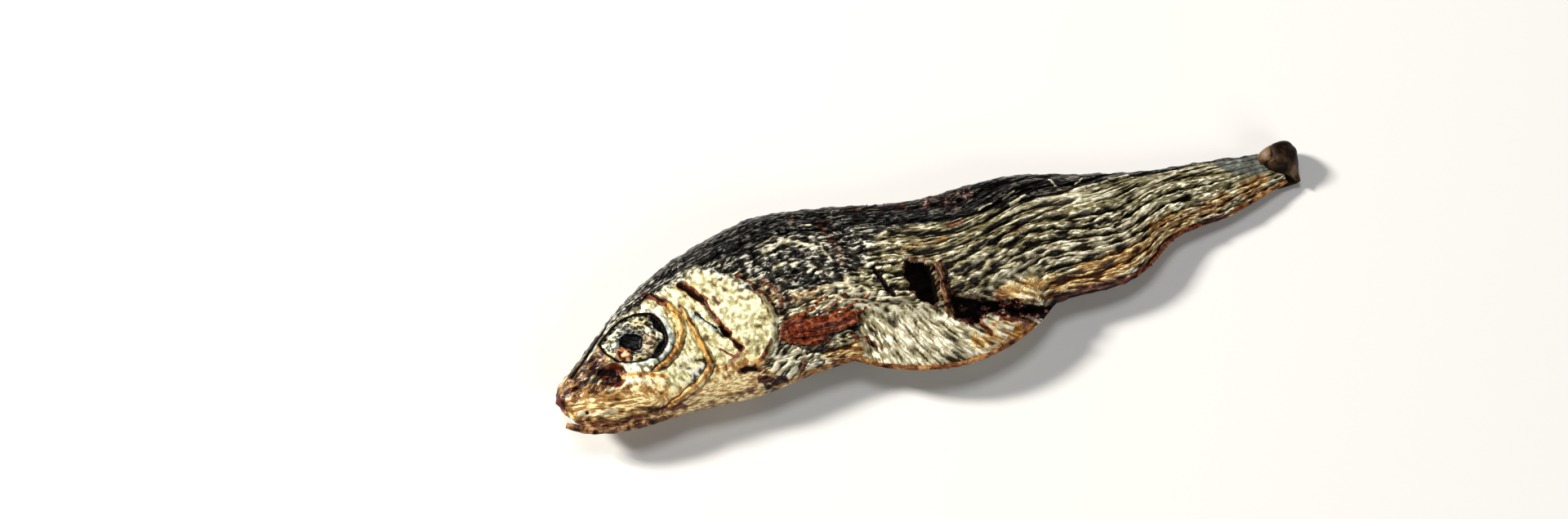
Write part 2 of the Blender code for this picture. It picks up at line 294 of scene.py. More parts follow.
@dataclass(frozen=True)
class Anatomy:
    """Sizes and drawn lines of the fish, as in the solid."""

    standard_length: float = 82.3
    head_length: float = 24.0
    body_width: float = 7.6
    inset: float = 0.1
    origin: tuple[float, float] = (42.1, 0.35)
    shares: tuple[float, ...] = (
        0.004, 0.035, 0.075, 0.12, 0.18, 0.245, 0.32, 0.4, 0.51, 0.655, 0.77, 0.825, 0.91, 1.0,
    )
    back: tuple[float, ...] = (
        0.8, 2.3, 4.7, 7.3, 9.7, 11.2, 12.1, 10.8, 8.3, 7.3, 4.5, 3.4, 2.4, 1.1,
    )
    belly: tuple[float, ...] = (
        -2.3, -4.9, -5.6, -6.1, -6.4, -7.0, -6.8, -7.0, -7.6, -8.0, -7.7, -5.2, -4.5, -2.9,
    )
    width: tuple[float, ...] = (
        0.24, 0.49, 0.68, 0.86, 0.97, 1.0, 0.93, 0.86, 0.79, 0.68, 0.52, 0.42, 0.33, 0.23,
    )
    lift: tuple[float, ...] = (
        4.2, 4.1, 4.0, 3.9, 3.7, 3.65, 3.75, 3.9, 4.0, 3.7, 3.0, 2.5, 1.8, 1.2,
    )
    flap_centre: float = 42.0
    flap_half_length: float = 11.0
    flap_drop: float = 3.8
    flap_bulge: float = 0.85
    eye: tuple[float, float] = (9.8, 2.1)
    orbit_turns: tuple[float, ...] = (
        -179, -158, -134, -105, -74, -64, -47, -27, -15, 6, 24, 40, 59, 85, 112, 135, 161,
    )
    orbit_radii: tuple[float, ...] = (
        3.4, 2.9, 2.6, 2.35, 2.5, 2.9, 3.1, 3.3, 3.35, 3.25, 3.3, 3.25, 2.95, 2.8, 2.9, 3.05, 3.8,
    )
    orbit_depth: float = 0.5
    gill_cover_step: float = 0.34
    gill_cover_edge: Points = (
        (17.6, 8.6), (20.6, 6.0), (23.0, 3.3), (24.1, 0.4), (23.8, -2.0), (20.6, -5.2),
    )
    cheek_ridge: Points = (
        (15.4, 3.7), (15.8, 1.6), (16.1, -0.8), (16.3, -3.1), (15.2, -4.0), (13.1, -4.8),
        (10.8, -5.4),
    )
    orbit_ridge: Points = (
        (12.8, 6.4), (14.3, 4.3), (14.65, 3.0), (14.6, 1.5), (13.8, -0.1), (12.4, -1.2),
        (10.8, -1.7),
    )
    cheek_slit: Points = ((16.4, 6.2), (17.8, 3.4), (18.2, 1.4), (18.9, -0.4), (19.8, -2.8))
    cheek_crease: Points = ((16.7, 2.6), (17.6, 0.8), (18.6, -0.8))
    snout_crease: Points = ((2.4, 1.0), (4.6, 2.7), (6.2, 4.0), (7.4, 5.0))
    mouth_line: Points = ((-1.0, 0.6), (1.6, -0.2), (4.7, -1.8), (8.4, -2.6))
    jaw_crease: Points = ((0.6, -2.7), (3.2, -4.1), (6.0, -5.0), (11.0, -5.3))
    jaw_pore: tuple[float, float] = (2.7, -3.2)
    neck_crease: Points = ((33.2, 11.5), (34.4, 6.0), (34.8, 0.7))
    flank_crease: Points = ((35.9, 1.4), (36.3, -0.6), (36.9, -2.2))
    strip: Points = ((42.6, -0.4), (42.3, -2.6), (41.9, -5.0), (41.8, -6.2))
    dark_limit: Points = (
        (0.0, 1.4), (2.2, 2.0), (4.6, 2.9), (6.3, 3.8), (7.5, 4.5), (8.7, 5.2), (10.5, 5.6),
        (12.4, 6.1), (14.2, 6.6), (17.0, 7.8), (20.1, 7.7), (23.7, 7.2), (28.5, 8.0), (32.3, 7.0),
        (38.7, 5.6), (42.6, 4.2), (51.1, 3.0), (56.0, 3.0), (62.1, 3.2), (72.1, 2.2), (82.3, 0.9),
    )

    def flap_share(self, along: Array) -> Array:
        """How far the torn belly wall hangs out below the belly line, from 0 to 1."""
        t = np.clip((along - self.flap_centre) / self.flap_half_length, -1.0, 1.0)
        return (1.0 - t * t) ** 0.9

    def outline(self, along: Array) -> tuple[Array, ...]:
        """Outline of the fish.

        Args:
            along: The places.

        Returns:
            The back, the belly, half the width and the mid-plane's height at each place.
        """
        known = np.array(self.shares) * self.standard_length
        rows = (self.back, self.belly, self.width, self.lift)
        back, belly, width, lift = (through_points(known, np.array(row), along) for row in rows)
        belly = belly - self.flap_drop * self.flap_share(along) + self.inset
        return back - self.inset, belly, width * self.body_width / 2, lift

    def fullness(self, along: Array, level: Array) -> Array:
        """Share of the half width that the fish has at each level.

        Args:
            along: The places.
            level: The levels, from -1 at the belly to 1 at the back.

        Returns:
            The share, from 0 to 1.
        """
        head = 1.0 - ramp(0.8 * self.head_length, 1.3 * self.head_length, along)
        full = (1.0 - np.abs(level) ** (2.1 + 0.7 * head)) ** (0.62 - 0.12 * head)
        thin_belly = 0.18 + 0.37 * self.flap_share(along)
        return full * (1.0 - thin_belly * ramp(0.1, -1.0, level))

    def behind_gill_cover(self, along: Array, up: Array) -> Array:
        """Distance in mm behind the gill cover's free edge, negative on the head."""
        edge = rounded(self.gill_cover_edge)[::-1]
        return along - np.interp(up, edge[:, 1], edge[:, 0])

    def orbit_radius(self, turn: Array) -> Array:
        """Distance from the eye's centre to the orbit's rim in each direction."""
        return np.interp(np.degrees(turn), self.orbit_turns, self.orbit_radii, period=360.0)

    def orbit_share(self, along: Array, up: Array) -> tuple[Array, Array]:
        """Where points lie in the orbit.

        Args:
            along: Places of the points.
            up: Heights of the points on the flank.

        Returns:
            The distance from the eye's centre as a share of the rim's, and the direction.
        """
        run, rise = along - self.eye[0], up - self.eye[1]
        turn = np.arctan2(rise, run)
        return np.hypot(run, rise) / self.orbit_radius(turn), turn


# Strokes by the mask that they raise, and areas further down.
MARKS: dict[str, tuple[Mark, ...]] = {
    "amber": (
        Mark(Anatomy.orbit_ridge[1:], 0.46), Mark(Anatomy.cheek_ridge[:5], 0.42),
        Mark(Anatomy.cheek_ridge[4:], 0.34, 0.9),
        Mark(((7.4, -1.1), (9.6, -1.8), (11.6, -2.8)), 0.3, 0.8),
        Mark(((45.0, -11.0), (46.8, -10.4), (48.2, -9.7)), 0.5, 0.8, Side.LEFT),
        Mark(((20.8, -4.2), (21.5, -5.2)), 0.4, 0.6),
    ),
    "rust": (
        Mark(((12.4, 6.7), (13.4, 5.8), (14.2, 4.4)), 0.55),
        Mark(((16.3, 6.2), (17.2, 4.9), (17.8, 3.6)), 0.8),
        Mark(((17.7, 3.9), (18.2, 2.2), (18.8, 0.2)), 0.26),
        Mark(((18.7, -0.1), (19.1, -0.8)), 0.52), Mark(((19.2, -1.3), (19.9, -2.6)), 0.42, 0.9),
        Mark(((17.7, -2.0), (19.0, -3.1)), 0.24, 0.9), Mark(((18.8, 3.4), (19.2, 2.7)), 0.36, 0.8),
        Mark(((19.8, -2.8), (18.6, -3.5), (17.4, -3.9)), 0.5, 0.55),
        Mark(((19.2, -4.5), (20.8, -4.9)), 0.5, 0.9),
        Mark(((23.2, 2.4), (23.7, 0.6), (23.6, -0.8)), 0.18, 0.6),
        Mark(((23.0, -2.8), (22.0, -3.8), (20.4, -4.7)), 0.36, 0.7),
        Mark(((1.0, -3.4), (4.0, -5.1), (8.5, -5.7)), 0.75, 0.62),
        # Painted shade: this stroke darkens the snout's front edge.
        Mark(((0.2, -0.6), (1.4, -1.6), (2.2, -1.2)), 0.7, 0.5),
        Mark(((2.6, 1.2), (4.4, 1.8), (5.8, 1.2)), 0.9, 0.62),
        Mark(((20.8, -5.8), (22.0, -6.3), (23.3, -6.4)), 0.5, 0.85),
        Mark(((0.4, -2.2), (1.2, -0.4), (2.6, -0.4)), 0.4, 0.8),
        Mark(((9.0, -5.2), (12.5, -5.9)), 0.5, 0.7), Mark(((30.0, 10.0), (31.6, 10.6)), 0.9, 0.45),
        Mark(((32.4, 8.8), (32.9, 5.6), (33.0, 3.0)), 1.1, 0.42),
        Mark(((36.0, 9.2), (42.0, 7.6), (48.0, 6.9)), 1.3, 0.36),
        Mark(((50.6, 0.2), (52.4, 0.6)), 0.7, 0.55, Side.LEFT),
        Mark(((45.2, 3.5), (46.6, 3.1)), 0.8, 0.55, Side.LEFT),
        Mark(((31.0, -4.4), (32.6, -5.6), (33.6, -6.9)), 0.5, 0.6),
        Mark(((46.6, -8.3), (49.4, -9.0)), 0.4, 0.9, Side.LEFT),
        Mark(((44.1, -7.6), (45.0, -9.3)), 0.42, 0.95, Side.LEFT),
        Mark(((47.7, -9.9), (49.6, -9.3)), 0.5, 0.95, Side.LEFT),
        Mark(((25.0, -6.0), (25.9, -5.6)), 0.34, 0.9),
        Mark(((24.6, 3.6), (25.6, 1.8), (25.2, -0.4)), 0.5, 0.6),
        Mark(((3.4, 0.2), (5.2, 1.2), (6.2, 2.2)), 0.9, 0.6),
        Mark(((1.4, -0.4), (3.0, -0.2), (4.8, -1.0)), 0.9, 0.45),
        Mark(((22.0, 5.2), (23.3, 3.5), (24.4, 1.4), (24.6, 0.2)), 0.34, 0.85),
        Mark(((62.0, -4.6), (70.0, -3.4), (79.0, -2.5)), 0.9, 0.4),
        Mark(((13.6, -6.2), (17.0, -6.5), (20.0, -6.4)), 0.5, 0.5),
    ),
    # Painted highlight: the first ice stroke is the glint beside the snout crease.
    "ice": (
        Mark(((3.4, 1.0), (4.7, 2.2), (5.6, 3.0)), 0.22, 0.9),
        Mark(((15.9, 3.2), (17.0, 1.6), (18.0, 0.2)), 0.34, 0.7),
    ),
    # Painted shade: the hollow strokes paint black into slits, creases and the pore, and along the
    # gill cover's free edge.
    "hollow": (
        Mark(((16.4, 6.0), (17.1, 4.9), (17.7, 3.8)), 0.42, 0.8),
        Mark(((18.5, 0.2), (19.0, -0.7)), 0.32, 0.8), Mark(((19.3, -1.5), (19.9, -2.5)), 0.22, 0.7),
        Mark(((5.3, 0.2), (6.4, -0.2), (6.9, -1.1)), 0.5, 0.8),
        Mark(((13.0, 6.2), (13.9, 5.0)), 0.2, 0.7), Mark(((19.4, -4.5), (20.6, -4.9)), 0.3, 0.8),
        Mark(Anatomy.snout_crease, 0.24, 0.9), Mark(((2.66, -3.2), (2.74, -3.26)), 0.2, 1.0),
        Mark(((23.6, -5.9), (25.3, -5.1)), 0.2, 0.9), Mark(((23.4, -4.1), (24.4, -4.0)), 0.2, 0.9),
        Mark(((16.9, 2.2), (18.1, 0.2)), 0.12, 0.8),
        Mark(((23.2, 3.8), (24.3, 1.6), (24.55, -0.2)), 0.17, 0.8),
        Mark(((32.5, 4.6), (32.3, 3.4), (31.8, 1.6)), 0.22, 0.5),
        Mark(((25.6, 7.3), (26.8, 7.6), (28.4, 7.6)), 0.18, 0.6),
        Mark(((36.4, 4.5), (38.4, 4.1)), 0.14, 0.8),
    ),
    "streak": (
        Mark(((1.9, -3.0), (3.3, -3.6), (5.6, -4.1)), 0.42, 0.55),
        Mark(((7.6, -1.9), (8.9, -2.2), (9.9, -2.7)), 0.36, 0.7),
        Mark(((5.6, -1.9), (6.8, -2.2)), 0.2, 0.7), Mark(((4.2, 1.7), (5.2, 2.7)), 0.18, 0.8),
        Mark(((22.3, -5.4), (23.2, -4.7), (24.4, -4.6), (25.6, -4.3)), 0.34),
        Mark(((22.8, -5.9), (23.7, -5.4), (24.8, -5.2)), 0.3),
        Mark(((23.6, -6.3), (24.6, -5.9)), 0.32), Mark(((22.9, -4.2), (23.4, -3.2)), 0.26, 0.9),
        Mark(((25.2, -5.4), (26.1, -4.8)), 0.22, 0.8),
        Mark(((25.8, -6.3), (26.6, -6.0)), 0.26, 0.8), Mark(((28.0, -6.2), (28.2, -6.4)), 0.3, 0.9),
        Mark(((44.9, -8.1), (45.7, -9.1), (46.7, -10.0)), 0.26, 1.0, Side.LEFT),
        Mark(((43.0, -8.1), (44.2, -9.2)), 0.2, 0.9, Side.LEFT),
        Mark(((46.1, -8.8), (47.6, -9.5)), 0.28, 0.8, Side.LEFT),
        Mark(((49.6, -6.4), (50.7, -7.3), (51.4, -8.0)), 0.27),
        Mark(((50.7, -6.0), (51.3, -6.6), (53.0, -6.8)), 0.22, 0.8),
        # Painted highlight: the thin streaks on this line and the next two stand for glints on the
        # dark back.
        Mark(((52.2, 3.4), (54.2, 3.9)), 0.19), Mark(((48.9, 4.0), (50.5, 4.3)), 0.13, 0.8),
        Mark(((51.9, 4.4), (53.3, 4.9)), 0.15, 0.7), Mark(((57.4, 5.1), (57.9, 4.2)), 0.13, 0.8),
        Mark(((59.9, 3.7), (60.9, 4.2)), 0.12, 0.7),
        Mark(((56.4, 2.7), (58.0, 2.7), (60.7, 3.0)), 0.24, 0.9),
        Mark(((57.0, 1.1), (59.6, 1.7)), 0.17, 0.8),
        Mark(((52.8, 2.5), (54.7, 2.5), (55.8, 2.7)), 0.17, 0.8),
        Mark(((35.2, 6.4), (37.4, 6.2)), 0.12, 0.6), Mark(((30.2, 8.6), (31.6, 8.3)), 0.11, 0.6),
        Mark(((25.7, 6.9), (27.0, 7.15), (28.9, 7.1), (29.6, 6.6), (31.0, 5.4)), 0.36, 0.7),
        Mark(((25.3, 7.7), (26.3, 7.9), (27.7, 8.6)), 0.26, 0.5),
        Mark(((31.0, 6.9), (31.4, 6.1), (31.9, 3.9)), 0.3, 0.5),
        Mark(((26.2, 4.9), (26.9, 4.9)), 0.4, 0.75), Mark(((28.0, 4.3), (28.4, 4.4)), 0.42, 0.8),
        Mark(((29.5, 3.7), (30.2, 3.3)), 0.24, 0.8), Mark(((29.1, 2.9), (29.5, 3.1)), 0.3, 0.8),
        Mark(((30.1, 2.6), (30.6, 2.6)), 0.28, 0.8), Mark(((32.0, 0.9), (32.7, 0.6)), 0.34, 0.9),
        Mark(((35.9, 4.2), (36.9, 3.8), (38.2, 3.5)), 0.27, 0.9),
        Mark(((37.4, 4.8), (38.6, 4.7)), 0.2, 0.7), Mark(((63.8, 3.4), (66.0, 3.1)), 0.11, 0.7),
    ),
    "gold": (
        Mark(((0.4, 0.1), (4.7, -2.9), (9.8, -4.2)), 2.5),
        Mark(((10.8, -5.6), (16.0, -5.6), (22.0, -5.9)), 1.5, 0.6),
        Mark(((2.2, 0.6), (5.0, 1.4), (6.2, 2.0)), 1.3, 0.9),
        Mark(((7.0, -0.9), (9.8, -2.6)), 0.9, 0.6),
        Mark(((16.8, -3.6), (19.6, -4.2), (22.0, -4.2)), 0.8, 0.7),
        Mark(((19.6, -1.6), (20.2, -3.4)), 0.6, 0.6), Mark(((17.4, 4.2), (18.8, 1.6)), 0.4, 0.5),
        Mark(((48.0, -6.2), (58.0, -6.4), (70.0, -4.8)), 1.9, 0.75),
        Mark(((66.0, -3.6), (74.0, -2.8), (80.0, -2.0)), 1.3, 0.6),
        Mark(((39.5, 2.4), (44.0, 1.9)), 0.9, 0.5, Side.LEFT),
        Mark(((24.6, 1.6), (27.5, 0.4), (31.5, 0.8)), 1.6, 0.4),
        Mark(((28.4, -5.4), (31.4, -6.2)), 1.2, 0.7),
        Mark(((43.6, -9.6), (48.0, -9.2)), 1.4, 0.95, Side.LEFT),
        Mark(((21.7, -7.0), (24.3, -6.9), (28.8, -7.0)), 0.7, 0.9),
    ),
    "pale": (
        Mark(((11.2, -5.5), (16.0, -5.6), (21.4, -5.9)), 1.3, 0.9),
    ),
    "silver": (
        Mark(((25.6, 2.6), (28.0, 1.4), (31.0, 1.0)), 1.3, 0.7),
        Mark(((26.6, 1.0), (31.0, 0.6), (35.0, -2.0), (37.4, -4.2)), 2.0, 0.85, Side.LEFT),
        Mark(((50.0, -2.8), (58.0, -3.6), (66.0, -2.6)), 2.6, 0.6),
        Mark(((52.0, 2.6), (62.0, 1.6), (71.0, 1.0)), 1.6, 0.6),
        Mark(((23.4, -3.6), (25.6, -4.6), (28.0, -5.8)), 1.9, 0.5),
        Mark(((43.4, 0.2), (47.0, -1.6), (50.0, -3.4)), 1.8, 0.6, Side.LEFT),
    ),
    "olive": (
        Mark(((16.7, 2.6), (17.6, 0.8), (18.5, -0.7)), 0.26, 0.9),
        Mark(((13.6, -1.5), (15.4, -2.3)), 0.3, 0.8), Mark(((13.1, -2.2), (14.7, -3.0)), 0.28, 0.8),
        Mark(((14.2, -3.6), (15.8, -2.6)), 0.55, 0.9), Mark(((19.8, 7.6), (20.4, 5.4)), 0.5, 0.8),
        Mark(((15.0, 7.0), (18.6, 7.4), (21.2, 5.4), (23.2, 2.8)), 0.9, 0.62),
        Mark(((20.6, 5.6), (21.8, 3.6)), 0.7, 0.5),
        Mark(((10.0, 5.4), (12.4, 5.4), (13.4, 4.4)), 0.6, 0.5),
    ),
}

PATCHES: tuple[Patch, ...] = (
    Patch(
        "olive",
        (
            (17.6, 8.6), (20.6, 6.8), (22.8, 4.7), (25.5, 3.0), (27.0, 1.6), (30.5, 1.0),
            (33.2, 1.3), (35.6, 2.4), (37.5, 4.4), (42.0, 5.0), (42.0, 12.5), (18.0, 12.5),
        ),
        0.9, 0.95,
    ),
    Patch(
        "back",
        ((26.4, 3.4), (26.6, 6.4), (28.8, 6.3), (30.8, 5.0), (31.4, 2.6), (29.0, 2.2)),
        0.7, 0.45,
    ),
    Patch("rust", FIN_WEB, 0.16, 1.0),
    Patch("rust", CHEEK_HOLLOW, 0.3, 1.0),
    Patch("grey", ((75.4, 1.6), (81.9, 1.4), (82.6, -0.8), (79.8, -1.2), (77.0, -0.2)), 0.6, 1.0),
)


@dataclass(frozen=True)
class Spots:
    """Points on one flank, with what the relief and the masks ask about them.

    Attributes:
        along: Places of the points.
        up: Heights of the points on the flank.
        level: Their levels, from -1 at the belly to 1 at the back.
        around: Their heights, drawn out where the flank turns over.
        wobble: Unevenness in mm that bends the drawn lines.
        side: The flank.
        part: The head, or the body that runs in under the gill cover.
    """

    along: Array
    up: Array
    level: Array
    around: Array
    wobble: Array
    side: Side
    part: Part


def raise_mask(masks: Masks, name: str, value: Array) -> None:
    """Raise a mask to a value wherever it is lower."""
    masks[name] = np.maximum(masks[name], value)


@dataclass
class Relief:
    """Relief of the flanks in mm, and the masks that the finish reads."""

    fish: Anatomy
    fold_rows: int = 11
    fold_height: float = 0.42
    flap_fold_gap: float = 2.8
    grain: Grain = field(default_factory=lambda: Grain(SEED))

    def drift(self, along: Array, level: Array, side: Side) -> Array:
        """Slow wandering of the lengthwise folds, the same as the solid's.

        Args:
            along: Places of the points.
            level: Levels of the points.
            side: The flank.

        Returns:
            The shift, in folds.
        """
        layer = 3.1 * side.value
        flat = zip(np.ravel(along), np.ravel(level))
        values = [noise.noise(Vector((a / 11.0, 9.0 * q / 5.0, layer))) for a, q in flat]
        return np.reshape(values, np.shape(along))

    def rows(self, along: Array, level: Array, drift: Array) -> Array:
        """Number of the fold that each point is on, rising towards the back."""
        merged = 1.0 - 0.25 * ramp(45.0, 80.0, along)
        return self.fold_rows * (0.5 + 0.5 * level) * merged + drift

    def around(self, along: Array, up: Array, level: Array) -> Array:
        """Height on the flank, drawn out where the flank turns over at the back and belly.

        Args:
            along: Places of the points.
            up: Heights of the points on the flank.
            level: Levels of the points.

        Returns:
            The height in mm.
        """
        half_width = self.fish.outline(along)[2]
        turned = np.sign(level) * np.maximum(np.abs(level), 0.3)
        drop = self.fish.fullness(along, 0.3 * np.sign(level)) - self.fish.fullness(along, turned)
        return up + 0.9 * np.sign(level) * half_width * drop

    def wobble(self, along: Array, up: Array) -> Array:
        """Small unevenness in mm that bends the drawn lines of the head."""
        slow = 0.2 * self.grain.value(along / 1.3, up / 1.3, Pattern.BEND)
        return slow + 0.07 * self.grain.value(along / 0.5, up / 0.5, Pattern.FINE_BEND)

    def strokes(
        self, x: Array, y: Array, layer: Array | float, lean: Array | float = 0.1
    ) -> Array:
        """Wavy strokes drawn out along x.

        Args:
            x: Place along the strokes, in stroke lengths.
            y: Place across the strokes, in stroke widths.
            layer: Number that picks another pattern.
            lean: How much more of the skin is light than dark.

        Returns:
            The height, from 0 in the dark gaps to 1 on the light ridges.
        """
        grain = self.grain
        wave = 0.55 * grain.value(x * 1.7, y / 2.2, layer + Pattern.STROKE_WAVE)
        wave = wave + 0.26 * grain.value(x * 4.2, y / 1.2, layer + Pattern.STROKE_RIPPLE)
        wide = grain.value(x, y + wave, layer) + lean
        return 0.5 + 0.5 * np.tanh(4.2 * wide)

    def head(self, at: Spots, apart: Array) -> tuple[Array, Masks]:
        """Bones, slits and hollows of one side of the head.

        Args:
            at: The points.
            apart: Layer of the pattern, the same for both flanks only where they meet.

        Returns:
            The relief in mm, and by name how much of a crease each point is in, which darkens the
            finish partly as painted shade, its brightness and its place along and across the
            streaks.
        """
        along, up, around, wobble = at.along, at.up, at.around, at.wobble
        fish, grain = self.fish, self.grain
        behind = fish.behind_gill_cover(along, up) + wobble
        step = fish.gill_cover_step * ramp(-5.6, -4.0, up)
        relief = step * ramp(0.22, -0.14, behind) * ramp(14.0, 20.0, along)
        relief += 0.08 * mound(np.abs(behind + 0.5), 0.4) * ramp(16.0, 20.0, along)
        orbit, turn = fish.orbit_share(along, up)
        orbit = orbit + 0.25 * wobble
        relief -= fish.orbit_depth * ramp(1.02, 0.84, orbit)
        relief += 0.1 * mound(np.abs(orbit - 1.12), 0.14)
        # The crease mask darkens the finish, partly as painted shade: round the orbit's rim, beside
        # the ridges, in the slit, the creases and the jaw pore.
        crease = 0.9 * mound(np.abs(orbit - 1.0), 0.08)
        for line, height, width in (
            (fish.cheek_ridge, 0.3, 0.36),
            (fish.orbit_ridge, 0.3, 0.42),
        ):
            distance, share = line_reach(along + wobble, up + 0.6 * wobble, line)
            width = width * (0.55 + 0.5 * np.sin(math.pi * share) ** 0.5)
            width = width * (1.0 + 0.3 * grain.value(along / 0.9, up / 0.9, Pattern.RIDGE_WIDTH))
            relief += height * mound(distance, width)
            groove = mound(np.abs(distance - width - 0.04), 0.17)
            relief -= 0.14 * groove
            crease = np.maximum(crease, 0.85 * groove * ramp(-0.3, 0.2, wobble + 0.1))
        slit, share = line_reach(along + wobble, up, fish.cheek_slit)
        gape = 0.1 + 0.4 * ramp(0.4, 0.12, share) + 0.3 * mound(np.abs(share - 0.74), 0.09)
        relief -= 0.7 * mound(slit, gape + 0.16) * (0.4 + 0.6 * ramp(0.1, 0.3, gape))
        crease = np.maximum(crease, 0.9 * mound(slit, gape))
        for line, depth, width, dark in (
            (fish.snout_crease, 0.3, 0.34, 1.0),
            (fish.cheek_crease, 0.14, 0.2, 0.55),
            (fish.mouth_line, 0.12, 0.3, 0.5),
            (fish.jaw_crease, 0.28, 0.4, 0.75),
        ):
            distance, _ = line_reach(along + 1.4 * wobble, up + 1.4 * wobble, line)
            relief -= depth * mound(distance, width)
            crease = np.maximum(crease, dark * mound(distance, 0.8 * width))
        hollow = area_reach(along + wobble, up + wobble, CHEEK_HOLLOW)
        relief -= 0.6 * ramp(0.4, -0.9, hollow)
        pore = np.hypot(along - fish.jaw_pore[0], up - fish.jaw_pore[1])
        relief -= 0.3 * mound(pore, 0.3)
        crease = np.maximum(crease, mound(pore, 0.34))
        crown = ramp(-0.7, 0.3, up - self.dark_limit(along))
        jaw = ramp(-0.2, -1.2, up + 0.34 * along) * ramp(12.0, 9.5, along)
        snout = ramp(7.4, 5.4, along) * (1.0 - jaw)
        throat = ramp(-4.2, -5.0, up + 0.02 * along) * ramp(10.5, 12.0, along)
        cheek = ramp(18.6, 17.4, along + 0.3 * up) * (1.0 - snout)
        streams = (
            (np.ones_like(along), along / 0.6, up / 0.46, 0.62, 0.06, Pattern.BONES, 0.22),
            (
                cheek, 0.34 * along - 0.94 * up, (0.94 * along + 0.34 * up) / 0.27,
                0.7, 0.08, Pattern.CHEEK, 0.22,
            ),
            (snout, along / 0.9, (up - 0.4 * along) / 0.42, 0.72, 0.13, Pattern.SNOUT, -0.08),
            (jaw, along / 2.4, (around + 0.36 * along) / 0.46, 0.72, 0.13, Pattern.JAW, 0.14),
            (
                throat, along / 2.6, (around + 0.16 * along) / 0.62,
                0.64, 0.16, Pattern.THROAT, 0.48,
            ),
            (
                crown, along / 0.7, (around - self.dark_limit(along)) / 0.3,
                1.0, 0.22, Pattern.CROWN, -0.02,
            ),
        )
        dark, fine = np.zeros_like(along), np.zeros_like(along)
        for share, x, y, depth, height, pattern, lean in streams:
            light = self.strokes(x, y, pattern + apart, lean)
            dark = dark * (1.0 - share) + depth * (1.0 - light) * share
            fine = fine * (1.0 - share) + height * (light - 1.0) * share
        plain = (1.0 - jaw) * (1.0 - crown) * (1.0 - throat) * (1.0 - snout)
        plain = np.maximum(plain, ramp(2.4, 1.0, along))
        glint = 0.5 * grain.value(along / 0.7, up / 0.5, Pattern.GLINT) * (1.0 - 0.5 * plain)
        glint = 0.5 + glint - 0.3 * snout
        flow_y = around + 0.36 * along * jaw + 0.16 * along * throat
        # crease darkens the finish: partly the skin's own dark creases, partly painted shade in
        # them.
        shade = {
            "crease": np.maximum(crease, dark),
            "glint": glint,
            "plain": plain,
            "flow": np.stack([along, flow_y, Pattern.HEAD_FLOW + apart], axis=-1),
        }
        return relief + fine, shade

    def dark_limit(self, along: Array) -> Array:
        """Lower limit of the dark back at each place."""
        places, heights = zip(*self.fish.dark_limit)
        return np.interp(along, places, heights)

    def folds(self, at: Spots) -> tuple[Array, Masks]:
        """Folds and fine wrinkles of the dried skin behind the head.

        Args:
            at: The points.

        Returns:
            The relief in mm, and by name how much of a crease each point is in, which darkens the
            finish partly as painted shade, its own brightness and its place along and across the
            folds.
        """
        along, up, around, level, side = at.along, at.up, at.around, at.level, at.side
        fish, grain = self.fish, self.grain
        layer = Pattern.FLANK * side.value
        drift = self.drift(along, level, side)
        rows = self.rows(along, level, 0.9 * drift)
        lined = ramp(37.0, 44.0, along)
        wave = grain.value(along / 1.6, 0.8 * rows, layer + Pattern.FOLD_WAVE)
        wavy = rows + (0.17 - 0.07 * lined) * wave
        ridge = np.abs(np.sin(math.pi * wavy)) ** 0.7
        slant = np.abs(np.sin(math.pi * (along + 0.65 * up) / self.flap_fold_gap)) ** 0.7
        torn = level + 0.1 * grain.value(along / 1.4, up / 1.4, Pattern.FLAP_EDGE)
        on_flap = ramp(0.1, 0.3, fish.flap_share(along)) * ramp(-0.2, -0.5, torn)
        coarse = self.fold_height * (ridge * (1.0 - on_flap) + 0.8 * slant * on_flap - 0.6)
        slope = np.interp(along, (32.0, 49.0), (0.1, 1.15))
        fan = (along - 41.0 + slope * (up + 7.0)) / np.hypot(1.0, slope)
        behind = ramp(1.0, 0.85, np.hypot((along - 24.8) / 2.8, (up + 4.6) / 2.3))
        run = np.interp(along, (20.0, 36.0, 50.0, 84.0), (0.0, 19.0, 29.0, 48.0))
        width = np.interp(along, (24.0, 46.0, 80.0), (0.28, 0.30, 0.52))
        beyond = around - up
        back, belly, _, _ = fish.outline(along)
        belly = belly + fish.flap_drop * fish.flap_share(along)
        still = (2.0 * up - back - belly) / (back - belly)
        across = 1.45 * self.rows(along, still, 0.35 * drift) + beyond
        upper = ramp(-0.5, 1.5, up) * ramp(38.0, 44.0, along)
        spread = fan + 0.1 * grain.value(along / 1.1, up / 1.1, Pattern.FLAP_SPREAD)
        streams = (
            (np.ones_like(along), run, across / width),
            (upper, 0.36 * run + 31.0, across / (0.86 * width) + 7.0),
            (ramp(0.35, 0.65, on_flap), (up + beyond) / 2.2, spread / 0.32),
            (behind, (0.81 * along + 0.59 * up) / 1.5, (0.81 * up - 0.59 * along) / 0.3),
        )
        lean = 0.04 + 0.24 * ramp(54.0, 68.0, along) + 0.16 * on_flap + 0.02 * behind
        lean = lean + 0.2 * ramp(43.0, 46.0, along) * on_flap
        lean = lean + 0.12 * ramp(36.0, 32.0, along)
        lean = lean + (0.55 * ridge - 0.42) * lined * (1.0 - on_flap)
        beaded = 0.3 + 0.2 * lined + 0.15 * ramp(56.0, 66.0, along)
        light = np.zeros_like(along)
        for share, x, y in streams:
            wide = self.strokes(x, y, layer, lean)
            narrow = self.strokes(1.9 * x + 9.0, 1.7 * y + 9.0, layer + Pattern.NARROW, 0.2)
            light = light * (1.0 - share) + wide * (1.0 - beaded * (1.0 - narrow)) * share
        smooth = 1.0 - 0.85 * ramp(74.0, 79.0, along) * ramp(-0.55, -0.1, level)
        pattern = layer + Pattern.FOLD_BREAK
        broken = grain.value(along / (3.5 + 3.5 * lined), 1.4 * rows, pattern)
        broken = ramp(-0.45, 0.2, broken)
